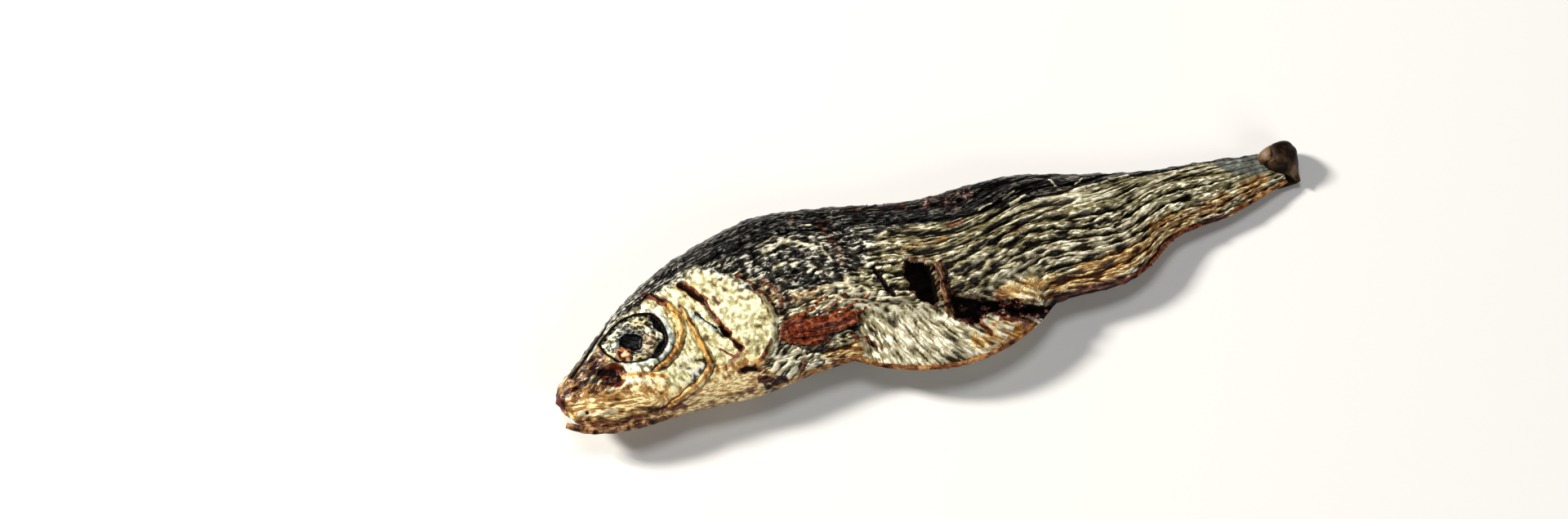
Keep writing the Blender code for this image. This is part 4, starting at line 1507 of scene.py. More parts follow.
@dataclass
class SkinLoft:
    """One part of the fish's skin as a closed loft of rings, its inner end tucked in."""

    relief: Relief
    part: Part
    start: float
    end: float
    gap: float
    left_sides: int
    right_sides: int
    edge_bumps: float = 0.24

    def levels(self, count: int) -> Array:
        """Levels from the belly to the back, closer together at the two edges."""
        share = np.linspace(0.0, 1.0, count + 1)
        return 0.45 * (2.0 * share - 1.0) - 0.55 * np.cos(math.pi * share)

    def flank(self, side: Side, sides: int) -> tuple[Array, Masks]:
        """Points of one flank.

        Args:
            side: The flank.
            sides: Number of faces from the belly to the back.

        Returns:
            The points and their masks, one row for each ring, from belly to back.
        """
        places = np.linspace(self.start, self.end, round((self.end - self.start) / self.gap) + 1)
        along, level = np.meshgrid(places, self.levels(sides), indexing="ij")
        back, belly, half_width, lift = self.relief.fish.outline(along)
        middle, reach = (back + belly) / 2, (back - belly) / 2
        up = middle + level * reach
        relief, tucked, masks = self.relief.flank(along, up, level, side, self.part)
        out = half_width * self.relief.fish.fullness(along, level) + relief
        if self.part is Part.HEAD:
            blunt = 1.0 - np.clip((along - self.start) / 1.5, 0.0, 1.0)
            blunt = 0.35 + 0.65 * np.sqrt(1.0 - blunt**2)
            out, reach = out * blunt, reach * blunt
            up = middle + level * reach
        height = lift + side.value * out * (1.0 - 0.5 * tucked)
        height = np.where(np.abs(level) > 0.999, lift, height)
        up = middle + (up - middle) * (1.0 - 0.17 * tucked)
        return np.stack([along, up, height], axis=-1), masks

    def build(self, material: Material) -> Piece:
        """Build the part.

        Args:
            material: Its finish.

        Returns:
            The piece, which stands for the solid.
        """
        left, left_masks = self.flank(Side.LEFT, self.left_sides)
        right, right_masks = self.flank(Side.RIGHT, self.right_sides)
        rings = np.concatenate([left, right[:, -2:0:-1]], axis=1)
        masks = {
            name: np.concatenate([left_masks[name], right_masks[name][:, -2:0:-1]], axis=1)
            for name in left_masks
        }
        rings, masks = self.roughen(rings, masks)
        rings[..., 2] = np.maximum(rings[..., 2], 0.0)
        count, sides = rings.shape[:2]
        ends = np.stack([rings[0].mean(axis=0), rings[-1].mean(axis=0)])
        ends[:, 0] += (-0.35, 0.3)
        points = np.concatenate([rings.reshape(-1, 3), ends])
        flat = {name: self.flatten(values) for name, values in masks.items()}
        faces, fish = loft_faces(count, sides), self.relief.fish
        piece = mesh_piece(f"{self.part.value}_skin", points, faces, fish, material, flat)
        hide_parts(NODE)
        return piece

    def roughen(self, rings: Array, masks: Masks) -> tuple[Array, Masks]:
        """Cut small bumps into the dark back and the edges, square to the skin, with painted shade
        in their low cells.

        Args:
            rings: The points, one row for each ring.
            masks: The masks of the points.

        Returns:
            The points and masks with the bumps.
        """
        ahead = np.gradient(rings, axis=0)
        around = (np.roll(rings, -1, axis=1) - np.roll(rings, 1, axis=1)) / 2
        outward = np.cross(around, ahead)
        outward /= np.linalg.norm(outward, axis=-1, keepdims=True) + 1e-9
        x, y, z = np.moveaxis(rings, -1, 0)
        grain = self.relief.grain
        lumps = np.tanh(2.2 * (grain.value(x / 1.1, y / 0.55, z / 0.55) + 0.15))
        pits = np.tanh(2.2 * (grain.value(x / 0.5, y / 0.3, z / 0.3 + 40.0) + 0.15))
        cells = 0.5 + 0.5 * (0.65 * lumps + 0.35 * pits)
        steep = 1.0 - np.abs(outward[..., 2])
        share = np.clip(0.35 * masks["back"] + ramp(0.5, 0.95, steep), 0.0, 1.0)
        share *= (1.0 - masks["hollow"]) * (1.0 - 0.85 * masks["amber"])
        moved = rings + outward * (self.edge_bumps * share * (cells - 1.0))[..., None]
        # Painted shade: the low cells of the bumps darken the crease mask.
        creased = np.maximum(masks["crease"], share * ramp(0.6, 0.1, cells))
        return moved, {**masks, "crease": creased}

    @staticmethod
    def flatten(values: Array) -> Array:
        """List a mask ring by ring, with the mean of each end ring for the end's middle point."""
        listed = values.reshape(-1, *values.shape[2:])
        return np.concatenate([listed, values[:1].mean(axis=1), values[-1:].mean(axis=1)])


def grid_faces(columns: int, rows: int) -> Faces:
    """Faces of a closed plate: two grids, one above the other, and the rim.

    Args:
        columns: Number of columns of points.
        rows: Number of points in a column.

    Returns:
        The point numbers of each face.
    """
    below = columns * rows
    faces = []
    for column in range(columns - 1):
        for row in range(rows - 1):
            a = column * rows + row
            b, c, d = a + rows, a + rows + 1, a + 1
            faces.append((a, b, c, d))
            faces.append((a + below, d + below, c + below, b + below))
    rim = [column * rows for column in range(columns)]
    rim += [(columns - 1) * rows + row for row in range(1, rows)]
    rim += [column * rows + rows - 1 for column in range(columns - 2, -1, -1)]
    rim += [row for row in range(rows - 2, 0, -1)]
    for start, end in zip(rim, rim[1:] + rim[:1]):
        faces.append((start, start + below, end + below, end))
    return faces


def plate_piece(
    name: str, middle: Array, half: Array, shade: Array, fish: Anatomy, material: Material
) -> Piece:
    """Make a plate around a grid of middle points.

    Args:
        name: The piece's name.
        middle: The middle points, in columns and rows.
        half: Half the plate's thickness at each of them.
        shade: How dark the finish is at each of them, as painted shade.
        fish: The fish's sizes.
        material: Its finish.

    Returns:
        The piece.
    """
    ahead, across = np.gradient(middle, axis=0), np.gradient(middle, axis=1)
    normal = np.cross(ahead, across)
    normal /= np.linalg.norm(normal, axis=-1, keepdims=True) + 1e-9
    upper, lower = middle + normal * half[..., None], middle - normal * half[..., None]
    points = np.concatenate([upper.reshape(-1, 3), lower.reshape(-1, 3)])
    points[:, 2] = np.maximum(points[:, 2], 0.02)
    masks = {"shade": np.tile(shade.ravel(), 2)}
    return mesh_piece(name, points, grid_faces(*middle.shape[:2]), fish, material, masks)


@dataclass(frozen=True)
class EyeArea:
    """An area of the shrunken eye, drawn by its corners, that swells or sinks in mm."""

    mask: str
    corners: Points
    swell: float


EYE_AREAS: tuple[EyeArea, ...] = (
    EyeArea(
        "cream",
        (
            (6.3, 2.8), (7.8, 3.9), (8.9, 4.2), (9.9, 4.5), (10.9, 4.5), (10.9, 4.2), (9.9, 4.2),
            (8.9, 3.9), (8.0, 3.6), (6.6, 2.6),
        ),
        0.1,
    ),
    EyeArea(
        "green",
        ((6.6, 2.8), (7.9, 3.6), (8.6, 3.5), (8.0, 2.9), (7.6, 2.1), (7.0, 2.1), (6.5, 2.3)),
        0.0,
    ),
    EyeArea("cream", ((6.5, 2.0), (7.3, 2.0), (7.4, 1.3), (6.9, 1.1)), 0.06),
    EyeArea(
        "straw",
        (
            (9.5, 4.2), (10.4, 4.4), (11.4, 4.2), (12.0, 3.8), (11.8, 3.2), (11.5, 2.7),
            (10.8, 2.8), (10.0, 3.0),
        ),
        0.12,
    ),
    EyeArea(
        "tan",
        (
            (10.8, 2.5), (12.0, 2.6), (12.3, 2.0), (12.1, 1.2), (11.6, 0.4), (10.9, -0.1),
            (10.2, 0.2), (10.2, 1.1),
        ),
        0.24,
    ),
    EyeArea("cream", ((12.1, 2.1), (12.7, 1.8), (12.6, 1.2), (12.1, 1.4)), 0.14),
    EyeArea("cream", ((10.9, 2.8), (11.8, 2.9), (12.0, 2.4), (11.2, 2.1)), 0.1),
    EyeArea("straw", ((9.0, 0.6), (10.0, 0.4), (10.4, -0.1), (9.7, -0.2), (8.9, 0.0)), 0.12),
    EyeArea(
        "crumbs",
        (
            (7.6, 1.9), (8.3, 1.8), (9.1, 1.2), (9.0, 0.6), (8.6, 0.2), (7.9, 0.3),
            (7.4, 0.9), (7.4, 1.4),
        ),
        0.3,
    ),
    EyeArea(
        "pupil",
        (
            (8.3, 2.8), (8.8, 3.15), (9.5, 3.0), (10.2, 2.6), (10.5, 2.0), (10.3, 1.3), (9.8, 0.8),
            (9.3, 1.0), (8.7, 1.45), (8.2, 2.1),
        ),
        -0.25,
    ),
    # Painted shadow: the black crescent where the eye sinks under the orbit's rear rim.
    EyeArea(
        "pupil",
        (
            (11.2, 4.8), (12.4, 4.4), (13.1, 3.2), (13.2, 1.2), (12.6, 0.3), (11.1, -0.8),
            (10.4, -0.4), (11.1, 0.0), (11.8, 0.7), (12.6, 1.1), (12.5, 1.9), (11.9, 2.6),
            (12.1, 3.9),
        ),
        -0.12,
    ),
)


@dataclass
class Eye:
    """A shrunken eye in its orbit: black centre, tan lump, pale corner and crumbs on a dark ground,
    with a black rim and rear crescent that are painted shadow.
    """

    relief: Relief
    side: Side
    rings: int = 64
    spokes: int = 170

    def build(self, material: Material) -> Piece:
        """Build the eye as a closed dome.

        Args:
            material: Its finish.

        Returns:
            The piece.
        """
        fish, grain = self.relief.fish, self.relief.grain
        share = np.linspace(0.0, 1.0, self.rings + 1)[1:, None]
        turn = np.linspace(-math.pi, math.pi, self.spokes, endpoint=False)[None, :]
        reach = fish.orbit_radius(turn)
        run, rise = reach * share * np.cos(turn), reach * share * np.sin(turn)
        edge = self.relief.surface(
            fish.eye[0] + 1.03 * reach * np.cos(turn), fish.eye[1] + 1.03 * reach * np.sin(turn),
            self.side, Part.HEAD, 0.0,
        )[..., 2]
        seat = (edge - edge.mean()) * share**2 * self.side.value
        along, up = fish.eye[0] + run, fish.eye[1] + rise
        warp = 0.16 * grain.value(run / 0.5, rise / 0.5, Pattern.EYE_EDGE)
        cells = self.relief.strokes(run / 0.55, (rise + 0.3 * run) / 0.38, Pattern.EYE_CELLS)
        masks = {"crease": np.clip(0.95 - 0.8 * cells, 0.0, 0.9)}
        dome = 0.25 * (1.0 - share**2) - 0.16 * ramp(0.8, 1.0, share)
        for area in EYE_AREAS:
            outside = area_reach(along, up, area.corners) + warp
            here = ramp(0.1, -0.12, outside)
            masks[area.mask] = np.maximum(masks.get(area.mask, 0.0), here)
            if area.mask == "pupil":
                cells = cells + (0.8 - cells) * 0.8 * here
            dome = dome + area.swell * ramp(0.1, -0.35, outside)
        dome = dome + 0.12 * (cells - 1.0)
        # Painted shadow: black round the eye's edge, where it meets the orbit.
        raise_mask(masks, "pupil", ramp(0.93, 0.97, share) * np.ones_like(run))
        height = edge.mean() + self.side.value * (seat + dome)
        rim = np.stack([along, up, height], axis=-1)
        top = rim[0].mean(axis=0)
        base = top - (0.0, 0.0, 1.6 * self.side.value)
        points = np.concatenate([rim.reshape(-1, 3), top[None], base[None]])
        points[:, 2] = np.maximum(points[:, 2], 0.03)
        flat = {
            name: np.concatenate([values.ravel(), [values[0].mean(), 0.0]])
            for name, values in masks.items()
        }
        faces = loft_faces(self.rings, self.spokes)
        if self.side is Side.RIGHT:
            faces = [face[::-1] for face in faces]
        name = f"{self.side.name.lower()}_eye"
        return mesh_piece(name, points, faces, fish, material, flat)


@dataclass
class TailRoll:
    """The tail fin, dried into a thick roll whose upper lobe laps back over the tail's root."""

    relief: Relief
    centre: tuple[float, float] = (82.35, 1.9)
    radii: tuple[float, float] = (1.75, 1.45)
    lower_end: float = math.radians(120)
    upper_end: float = math.radians(205)
    thickness: float = 0.7
    rays: int = 5

    def build(self, material: Material) -> Piece:
        """Build the roll.

        Args:
            material: Its finish.

        Returns:
            The piece.
        """
        columns, steps = self.rays * 10 + 1, 80
        grain = self.relief.grain
        across = np.linspace(0.0, 1.0, columns)[:, None]
        wound = np.linspace(0.0, 1.0, steps)[None, :]
        ragged = 0.1 * grain.value(across * 3.0, 0.0 * across, Pattern.TAIL_END)
        end = self.lower_end + (self.upper_end - self.lower_end) * ramp(0.1, 0.6, across) + ragged
        turn = -math.pi / 2 + (end + math.pi / 2) * wound
        high = np.clip((across - 0.66) / 0.34, 0.0, 1.0)
        taper = (0.24 + 0.76 * ramp(-0.1, 0.7, across)) * np.sqrt(1.0 - 0.72 * high**4)
        ray = 0.035 * np.abs(np.sin(across * self.rays * math.pi)) ** 0.7
        crumple = 0.16 * grain.value(across * 2.2, wound * 2.0, Pattern.TAIL_CRUMPLE)
        crumple = crumple + 0.07 * grain.value(across * 5.0, wound * 6.0, Pattern.TAIL_RIPPLE)
        lobe = ramp(0.64, 0.78, wound + 0.12 * crumple) * ramp(0.52, 0.76, across)
        groove = mound(np.abs(lobe - 0.4), 0.4) * ramp(0.4, 0.6, wound)
        swell = 1.0 + ray * (0.3 + 0.7 * wound) + crumple + 0.1 * lobe - 0.12 * groove
        swell = taper * swell - 0.04
        bottom = -3.0 + 0.1 * wound
        top = 0.95 + 0.5 * np.sin(0.9 * wound * math.pi)
        along = self.centre[0] + self.radii[0] * (0.85 * (1.0 - taper) + np.cos(turn) * swell)
        up = bottom + (top - bottom) * across
        height = 0.75 + (self.centre[1] - 0.75) * taper + self.radii[1] * np.sin(turn) * swell
        middle = np.stack([along, up, height], axis=-1)
        root = middle[:, :1] + np.array([-2.2, 0.0, 0.25])
        middle = np.concatenate([root, middle], axis=1)
        half = np.full(middle.shape[:2], self.thickness / 2)
        half *= (1.0 - 0.35 * np.concatenate([np.zeros((1, 1)), wound], axis=1) ** 4) * taper
        # Painted light: darker in the groove round the lobe and lighter on the upper lobe that laps
        # over the root; the crumples vary it further.
        shade = np.clip(0.3 + 0.7 * groove - 0.65 * lobe + 1.2 * crumple, -1.0, 1.0)
        shade = np.concatenate([shade[:, :1], shade], axis=1)
        return plate_piece("tail_fin", middle, half, shade, self.relief.fish, material)


@dataclass
class RibStrip:
    """A narrow strip of the belly wall that stands up beside the hole, its edges curled."""

    relief: Relief
    width: float = 1.15
    arch: float = 0.35
    thickness: float = 0.2

    def build(self, material: Material) -> Piece:
        """Build the strip.

        Args:
            material: Its finish.

        Returns:
            The piece.
        """
        fish, grain = self.relief.fish, self.relief.grain
        steps, columns = 70, 21
        share = np.linspace(0.0, 1.0, steps)[:, None]
        across = np.linspace(-1.0, 1.0, columns)[None, :]
        corners = rounded(fish.strip)
        line = [np.interp(share, np.linspace(0, 1, len(corners)), corners[:, k]) for k in (0, 1)]
        width = self.width * (1.0 - 0.25 * share) / 2
        width = width * (1.0 + 0.25 * grain.value(share * 7.0, across, Pattern.STRIP_WIDTH))
        bend = 0.14 * grain.value(share * 5.0, 0.0 * across, Pattern.STRIP_BEND)
        along = line[0] + across * width + bend
        up = line[1] + 0.15 * across
        ends = self.relief.surface(
            line[0][[0, -1]], line[1][[0, -1]], Side.LEFT, Part.BODY, -0.1
        )[..., 2]
        level = ends[0] + (ends[1] - ends[0]) * share
        curl = 0.16 * across * np.sin(math.pi * share) ** 0.5
        height = level + self.arch * np.sin(math.pi * share) ** 0.7 - curl
        height = height + 0.12 * grain.value(share * 4.0, across * 2.6, Pattern.STRIP_SWELL)
        height = height + 0.06 * grain.value(share * 16.0, across * 5.0, Pattern.STRIP_RIPPLE)
        middle = np.stack(np.broadcast_arrays(along, up, height), axis=-1)
        half = np.full((steps, columns), self.thickness / 2)
        # Painted shade: the strip darkens towards its edge on the tail's side, its other edge left
        # light.
        shade = np.broadcast_to(ramp(-0.7, 0.4, across) * 0.75, (steps, columns))
        return plate_piece("rib_strip", middle, half, shade, fish, material)


class GeometryTrees:
    """Geometry Nodes that several pieces use, each tree built once."""

    def __init__(self) -> None:
        """Build the trees."""
        self.strands = self._strands()
        self.lumps = self._lumps()
        self.stubs = self._stubs()

    @staticmethod
    def _tree(name: str, inputs: dict[str, str]) -> tuple[NodeDraft, dict[str, Socket]]:
        """Start a tree with named inputs.

        Args:
            name: The tree's name.
            inputs: Kinds of the inputs by name, besides its geometry and finish.

        Returns:
            The draft of the tree and its inputs by name.
        """
        tree = bpy.data.node_groups.new(name, "GeometryNodeTree")
        for label, kind in {"Geometry": "Geometry", **inputs, "Finish": "Material"}.items():
            tree.interface.new_socket(label, in_out="INPUT", socket_type=f"NodeSocket{kind}")
        tree.interface.new_socket("Geometry", in_out="OUTPUT", socket_type="NodeSocketGeometry")
        draft = NodeDraft(tree)
        entry = draft.add("NodeGroupInput")
        return draft, {socket.name: socket for socket in entry.outputs}

    @staticmethod
    def _finish(draft: NodeDraft, shape: Socket, finish: Socket) -> Tree:
        """End a tree: instances made real, smooth and dressed.

        Args:
            draft: The draft of the tree.
            shape: The geometry so far.
            finish: The input with the finish.

        Returns:
            The tree.
        """
        real = draft.add("GeometryNodeRealizeInstances", {"Geometry": shape}).outputs[0]
        smooth = draft.add("GeometryNodeSetShadeSmooth", {"Geometry": real}).outputs[0]
        inputs = {"Geometry": smooth, "Material": finish}
        dressed = draft.add("GeometryNodeSetMaterial", inputs).outputs[0]
        draft.add("NodeGroupOutput", {0: dressed})
        return draft.tree

    def _strands(self) -> Tree:
        """Sweep a flattened round along drawn lines, as thick as the points' own girth says.

        Returns:
            The tree.
        """
        draft, given = self._tree("strands", {"Flatness": "Float", "Sides": "Int"})
        lines = draft.add("GeometryNodeMeshToCurve", {"Mesh": given["Geometry"]}).outputs[0]
        lines = draft.add("GeometryNodeSetCurveNormal", {"Curve": lines}, mode="Z_UP").outputs[0]
        circle = {"Resolution": given["Sides"], "Radius": 1.0}
        ring = draft.add("GeometryNodeCurvePrimitiveCircle", circle).outputs[0]
        flattened = {"Geometry": ring, "Scale": draft.triple(1.0, given["Flatness"], 1.0)}
        ring = draft.add("GeometryNodeTransform", flattened).outputs[0]
        girth = draft.add("GeometryNodeInputNamedAttribute", {"Name": "girth"}).outputs["Attribute"]
        sweep = {"Curve": lines, "Profile Curve": ring, "Scale": girth, "Fill Caps": True}
        swept = draft.add("GeometryNodeCurveToMesh", sweep).outputs[0]
        return self._finish(draft, swept, given["Finish"])

    def _lumps(self) -> Tree:
        """Scatter uneven lumps over a patch.

        Returns:
            The tree.
        """
        draft, given = self._tree(
            "lumps", {"Density": "Float", "Least": "Float", "Most": "Float", "Seed": "Int"}
        )
        patch = {"Mesh": given["Geometry"], "Density": given["Density"], "Seed": given["Seed"]}
        spread = draft.add("GeometryNodeDistributePointsOnFaces", patch).outputs
        ball = draft.add("GeometryNodeMeshIcoSphere", {"Radius": 1.0, "Subdivisions": 3}).outputs[0]
        size = draft.random(given["Least"], given["Most"], given["Seed"])
        lump = {
            "Points": spread["Points"], "Instance": ball, "Rotation": spread["Rotation"],
            "Scale": draft.triple(draft.times(size, 1.6), size, draft.times(size, 0.5)),
        }
        placed = draft.add("GeometryNodeInstanceOnPoints", lump).outputs[0]
        real = draft.add("GeometryNodeRealizeInstances", {"Geometry": placed}).outputs[0]
        swirl = draft.add("ShaderNodeTexNoise", {"Scale": 1500.0, "Detail": 3.0}).outputs["Color"]
        middle = (0.5, 0.5, 0.5)
        swirl = draft.add("ShaderNodeVectorMath", {0: swirl, 1: middle}, operation="SUBTRACT")
        shift = draft.add("ShaderNodeVectorMath", {0: swirl.outputs[0]}, operation="SCALE")
        draft.put(shift.inputs["Scale"], draft.times(given["Most"], 2.4))
        moved = draft.add(
            "GeometryNodeSetPosition", {"Geometry": real, "Offset": shift.outputs[0]}
        ).outputs[0]
        return self._finish(draft, moved, given["Finish"])

    def _stubs(self) -> Tree:
        """Row of short ray stubs along a drawn line, leaning one way.

        Returns:
            The tree.
        """
        draft, given = self._tree(
            "stubs",
            {"Gap": "Float", "Length": "Float", "Girth": "Float", "Lean": "Vector", "Seed": "Int"},
        )
        line = draft.add("GeometryNodeMeshToCurve", {"Mesh": given["Geometry"]}).outputs[0]
        points = draft.add("GeometryNodeCurveToPoints", mode="LENGTH")
        draft.put(points.inputs["Curve"], line)
        draft.put(points.inputs["Length"], given["Gap"])
        cone = {
            "Vertices": 7, "Side Segments": 3, "Radius Top": 0.35, "Radius Bottom": 1.0,
            "Depth": 1.0,
        }
        ray = draft.add("GeometryNodeMeshCone", cone).outputs["Mesh"]
        jitter = draft.add("FunctionNodeRandomValue", data_type="FLOAT_VECTOR")
        spread = {"Min": (-0.8, -0.6, -0.4), "Max": (0.8, 0.4, 0.4), "Seed": given["Seed"]}
        turned = {0: given["Lean"], 1: draft.pick(jitter, spread, "Value")}
        turned = draft.add("ShaderNodeVectorMath", turned, operation="ADD").outputs[0]
        aim = draft.add("FunctionNodeAlignRotationToVector", {"Vector": turned}, axis="Z")
        tall = draft.times(draft.random(0.45, 1.0, given["Seed"]), given["Length"])
        stub = {
            "Points": points.outputs["Points"], "Instance": ray, "Rotation": aim.outputs[0],
            "Scale": draft.triple(given["Girth"], given["Girth"], tall),
        }
        placed = draft.add("GeometryNodeInstanceOnPoints", stub).outputs[0]
        return self._finish(draft, placed, given["Finish"])


@dataclass
class Growth:
    """A piece grown with Geometry Nodes from drawn lines or a patch on the skin."""

    relief: Relief
    trees: GeometryTrees
    name: str

    def carrier(self, points: Array, edges: list[tuple[int, int]], faces: Faces) -> bpy.types.Mesh:
        """Make the mesh of the lines or the patch.

        Args:
            points: The points in mm, measured from the snout tip.
            edges: Point numbers of each line's steps.
            faces: Point numbers of each face of a patch.

        Returns:
            The mesh.
        """
        mesh = bpy.data.meshes.new(f"{self.name}_carrier")
        mesh.from_pydata(to_world(points, self.relief.fish).tolist(), edges, faces)
        return mesh

    def grow(self, name: str, carrier: bpy.types.Mesh, tree: Tree, values: dict) -> Piece:
        """Grow the piece and keep it as a plain mesh.

        Args:
            name: The piece's name.
            carrier: The drawn lines or the patch that the tree starts from.
            tree: The tree.
            values: Its inputs by name, lengths in metres.

        Returns:
            The piece.
        """
        base = bpy.data.objects.new(f"{name}_base", carrier)
        bpy.context.scene.collection.objects.link(base)
        nodes = base.modifiers.new("grown", "NODES")
        nodes.node_group = tree
        for item in tree.interface.items_tree:
            if item.in_out == "INPUT" and item.name in values:
                nodes[item.identifier] = values[item.name]
        made = base.evaluated_get(bpy.context.evaluated_depsgraph_get())
        mesh = bpy.data.meshes.new_from_object(made)
        mesh.name = name
        base.modifiers.remove(nodes)
        bpy.data.objects.remove(base)
        return dressed_piece(name, mesh)


@dataclass(frozen=True)
class Strand:
    """A drawn line on one flank with a half width in mm, thinner towards its ends."""

    line: Points
    girth: float
    start: float = 0.6
    end: float = 0.3
    proud: float = 0.05


@dataclass
class StrandSet(Growth):
    """Strands that lie on the skin: fin rays, rims and scraps."""

    strands: tuple[Strand, ...]
    part: Part = Part.BODY
    flatness: float = 0.55
    gap: float = 0.16

    def build(self, side: Side, material: Material) -> Piece:
        """Build the strands of one flank.

        Args:
            side: The flank.
            material: Their finish.

        Returns:
            The piece.
        """
        points, edges, girths = [], [], []
        for index, strand in enumerate(self.strands):
            corners = rounded(strand.line)
            lengths = line_lengths(corners)
            count = max(4, round(lengths[-1] / self.gap))
            where = np.linspace(0.0, lengths[-1], count)
            along, up = (np.interp(where, lengths, corners[:, k]) for k in (0, 1))
            height = self.relief.surface(along, up, side, self.part, strand.proud)[..., 2]
            for _ in range(6):
                height[1:-1] = (height[:-2] + 2.0 * height[1:-1] + height[2:]) / 4
            ends = (strand.start, 1.0, 0.95, strand.end)
            taper = np.interp(where / lengths[-1], (0.0, 0.18, 0.7, 1.0), ends)
            pattern = Pattern.STRAND + 3 * index
            uneven = 1.0 + 0.22 * self.relief.grain.value(where / 0.9, 0.0 * where, pattern)
            first = len(points)
            points += np.stack([along, up, height], axis=-1).tolist()
            girths += (strand.girth * taper * uneven * MM).tolist()
            edges += [(first + step, first + step + 1) for step in range(count - 1)]
        mesh = self.carrier(np.array(points), edges, [])
        mesh.attributes.new("girth", "FLOAT", "POINT").data.foreach_set("value", girths)
        values = {"Flatness": self.flatness, "Sides": 8, "Finish": material}
        return self.grow(f"{side.name.lower()}_{self.name}", mesh, self.trees.strands, values)


@dataclass
class LumpPatch(Growth):
    """Uneven lumps and crumbs scattered over an area of the left flank."""

    corners: Points
    density: float
    sizes: tuple[float, float]
    part: Part = Part.BODY
    proud: float = 0.0
    gap: float = 0.3

    def build(self, material: Material) -> Piece:
        """Build the lumps.

        Args:
            material: Their finish.

        Returns:
            The piece.
        """
        low, high = np.min(self.corners, axis=0), np.max(self.corners, axis=0)
        columns, rows = (int(round(span / self.gap)) + 2 for span in high - low)
        spans = np.linspace(low[0], high[0], columns), np.linspace(low[1], high[1], rows)
        along, up = np.meshgrid(*spans, indexing="ij")
        within = area_reach(along, up, self.corners) < 0.0
        points = self.relief.surface(along, up, Side.LEFT, self.part, self.proud)
        faces = []
        for column in range(columns - 1):
            for row in range(rows - 1):
                if within[column:column + 2, row:row + 2].all():
                    a = column * rows + row
                    faces.append((a, a + rows, a + rows + 1, a + 1))
        values = {
            "Density": self.density / MM**2, "Least": self.sizes[0] * MM,
            "Most": self.sizes[1] * MM, "Seed": SEED, "Finish": material,
        }
        mesh = self.carrier(points.reshape(-1, 3), [], faces)
        return self.grow(self.name, mesh, self.trees.lumps, values)


@dataclass
class StubRow(Growth):
    """A broken row of ray stubs along the fish's edge, where a small fin has dried away."""

    span: tuple[float, float]
    on_back: bool
    length: float
    girth: float
    gap: float
    lean: tuple[float, float, float]

    def build(self, material: Material) -> Piece:
        """Build the row.

        Args:
            material: Its finish.

        Returns:
            The piece.
        """
        along = np.arange(*self.span, 0.4)
        back, belly, _, lift = self.relief.fish.outline(along)
        up = back - 0.25 if self.on_back else belly + 0.25
        edges = [(step, step + 1) for step in range(len(along) - 1)]
        mesh = self.carrier(np.stack([along, up, lift + 0.1], axis=-1), edges, [])
        values = {
            "Gap": self.gap * MM, "Length": self.length * MM, "Girth": self.girth * MM,
            "Lean": self.lean, "Seed": SEED, "Finish": material,
        }
        return self.grow(self.name, mesh, self.trees.stubs, values)


FIN_RAYS: tuple[Strand, ...] = (
    Strand(((24.9, -1.3), (27.5, -1.0), (29.2, -0.4), (31.0, 0.2)), 0.28, proud=-0.02),
    Strand(((27.2, -1.8), (29.2, -1.5), (31.2, -0.9), (33.4, -0.1)), 0.14, proud=0.0),
    Strand(((25.0, -1.9), (29.0, -2.2), (31.7, -1.8), (34.6, -1.3)), 0.36, proud=-0.02),
    Strand(((25.0, -2.3), (29.4, -2.7), (32.0, -2.7), (34.2, -2.4)), 0.44, proud=-0.02),
    Strand(((24.8, -2.7), (28.4, -3.3), (31.0, -3.5), (33.0, -3.5)), 0.44, proud=-0.02),
    Strand(((24.5, -3.0), (26.8, -3.9), (29.0, -4.4)), 0.4, proud=-0.02),
)
JAW_EDGE: Points = ((0.3, -3.4), (1.5, -4.2), (3.6, -5.1), (7.6, -5.85), (11.0, -6.2))
BACK_EDGE: Points = (
    (34.0, 10.3), (38.0, 9.2), (43.0, 7.6), (48.0, 7.2), (48.0, 5.8), (42.0, 6.4), (36.0, 8.6),
)
BACK_CLOTS: Points = (
    (42.6, 7.0), (44.4, 7.9), (46.2, 7.0), (48.2, 7.5), (50.2, 6.2), (48.0, 5.4), (46.9, 3.8),
    (44.4, 4.9), (44.9, 6.0),
)

FINS = HornFinish(
    "dried_fin_finish",
    Tone((0.012, 0.001, 0.0005), (0.115, 0.014, 0.002), (0.30, 0.085, 0.02)),
    scale=1900.0, coat=0.12,
)
TAIL = HornFinish(
    "tail_fin_finish",
    Tone((0.007, 0.003, 0.001), (0.036, 0.016, 0.005), (0.15, 0.09, 0.045)),
    scale=600.0, roughness=0.52, coat=0.05,
)
STRIP = HornFinish(
    "rib_strip_finish", Tone((0.008, 0.003, 0.002), (0.10, 0.04, 0.014), (0.42, 0.22, 0.09))
)
RIM = HornFinish(
    "rim_finish",
    Tone((0.014, 0.003, 0.001), (0.13, 0.038, 0.009), (0.46, 0.23, 0.07)),
    scale=800.0, roughness=0.28,
)
CRUMBS = HornFinish(
    "crumb_finish",
    Tone((0.003, 0.001, 0.001), (0.024, 0.005, 0.003), (0.14, 0.045, 0.03)),
    scale=1800.0, roughness=0.24,
)
CLOTS = HornFinish(
    "clot_finish",
    Tone((0.003, 0.0015, 0.001), (0.026, 0.012, 0.008), (0.24, 0.15, 0.12)),
    scale=1500.0, roughness=0.3,
)


def edge_line(fish: Anatomy, span: tuple[float, float], inward: float) -> Points:
    """Line along the belly's outline, a little inside it.

    Args:
        fish: The fish's sizes.
        span: Where the line starts and ends.
        inward: How far inside the outline it runs.

    Returns:
        The line's corners.
    """
    along = np.linspace(*span, max(3, round((span[1] - span[0]) / 1.6)))
    belly = fish.outline(along)[1]
    return tuple((float(a), float(b) + inward) for a, b in zip(along, belly))


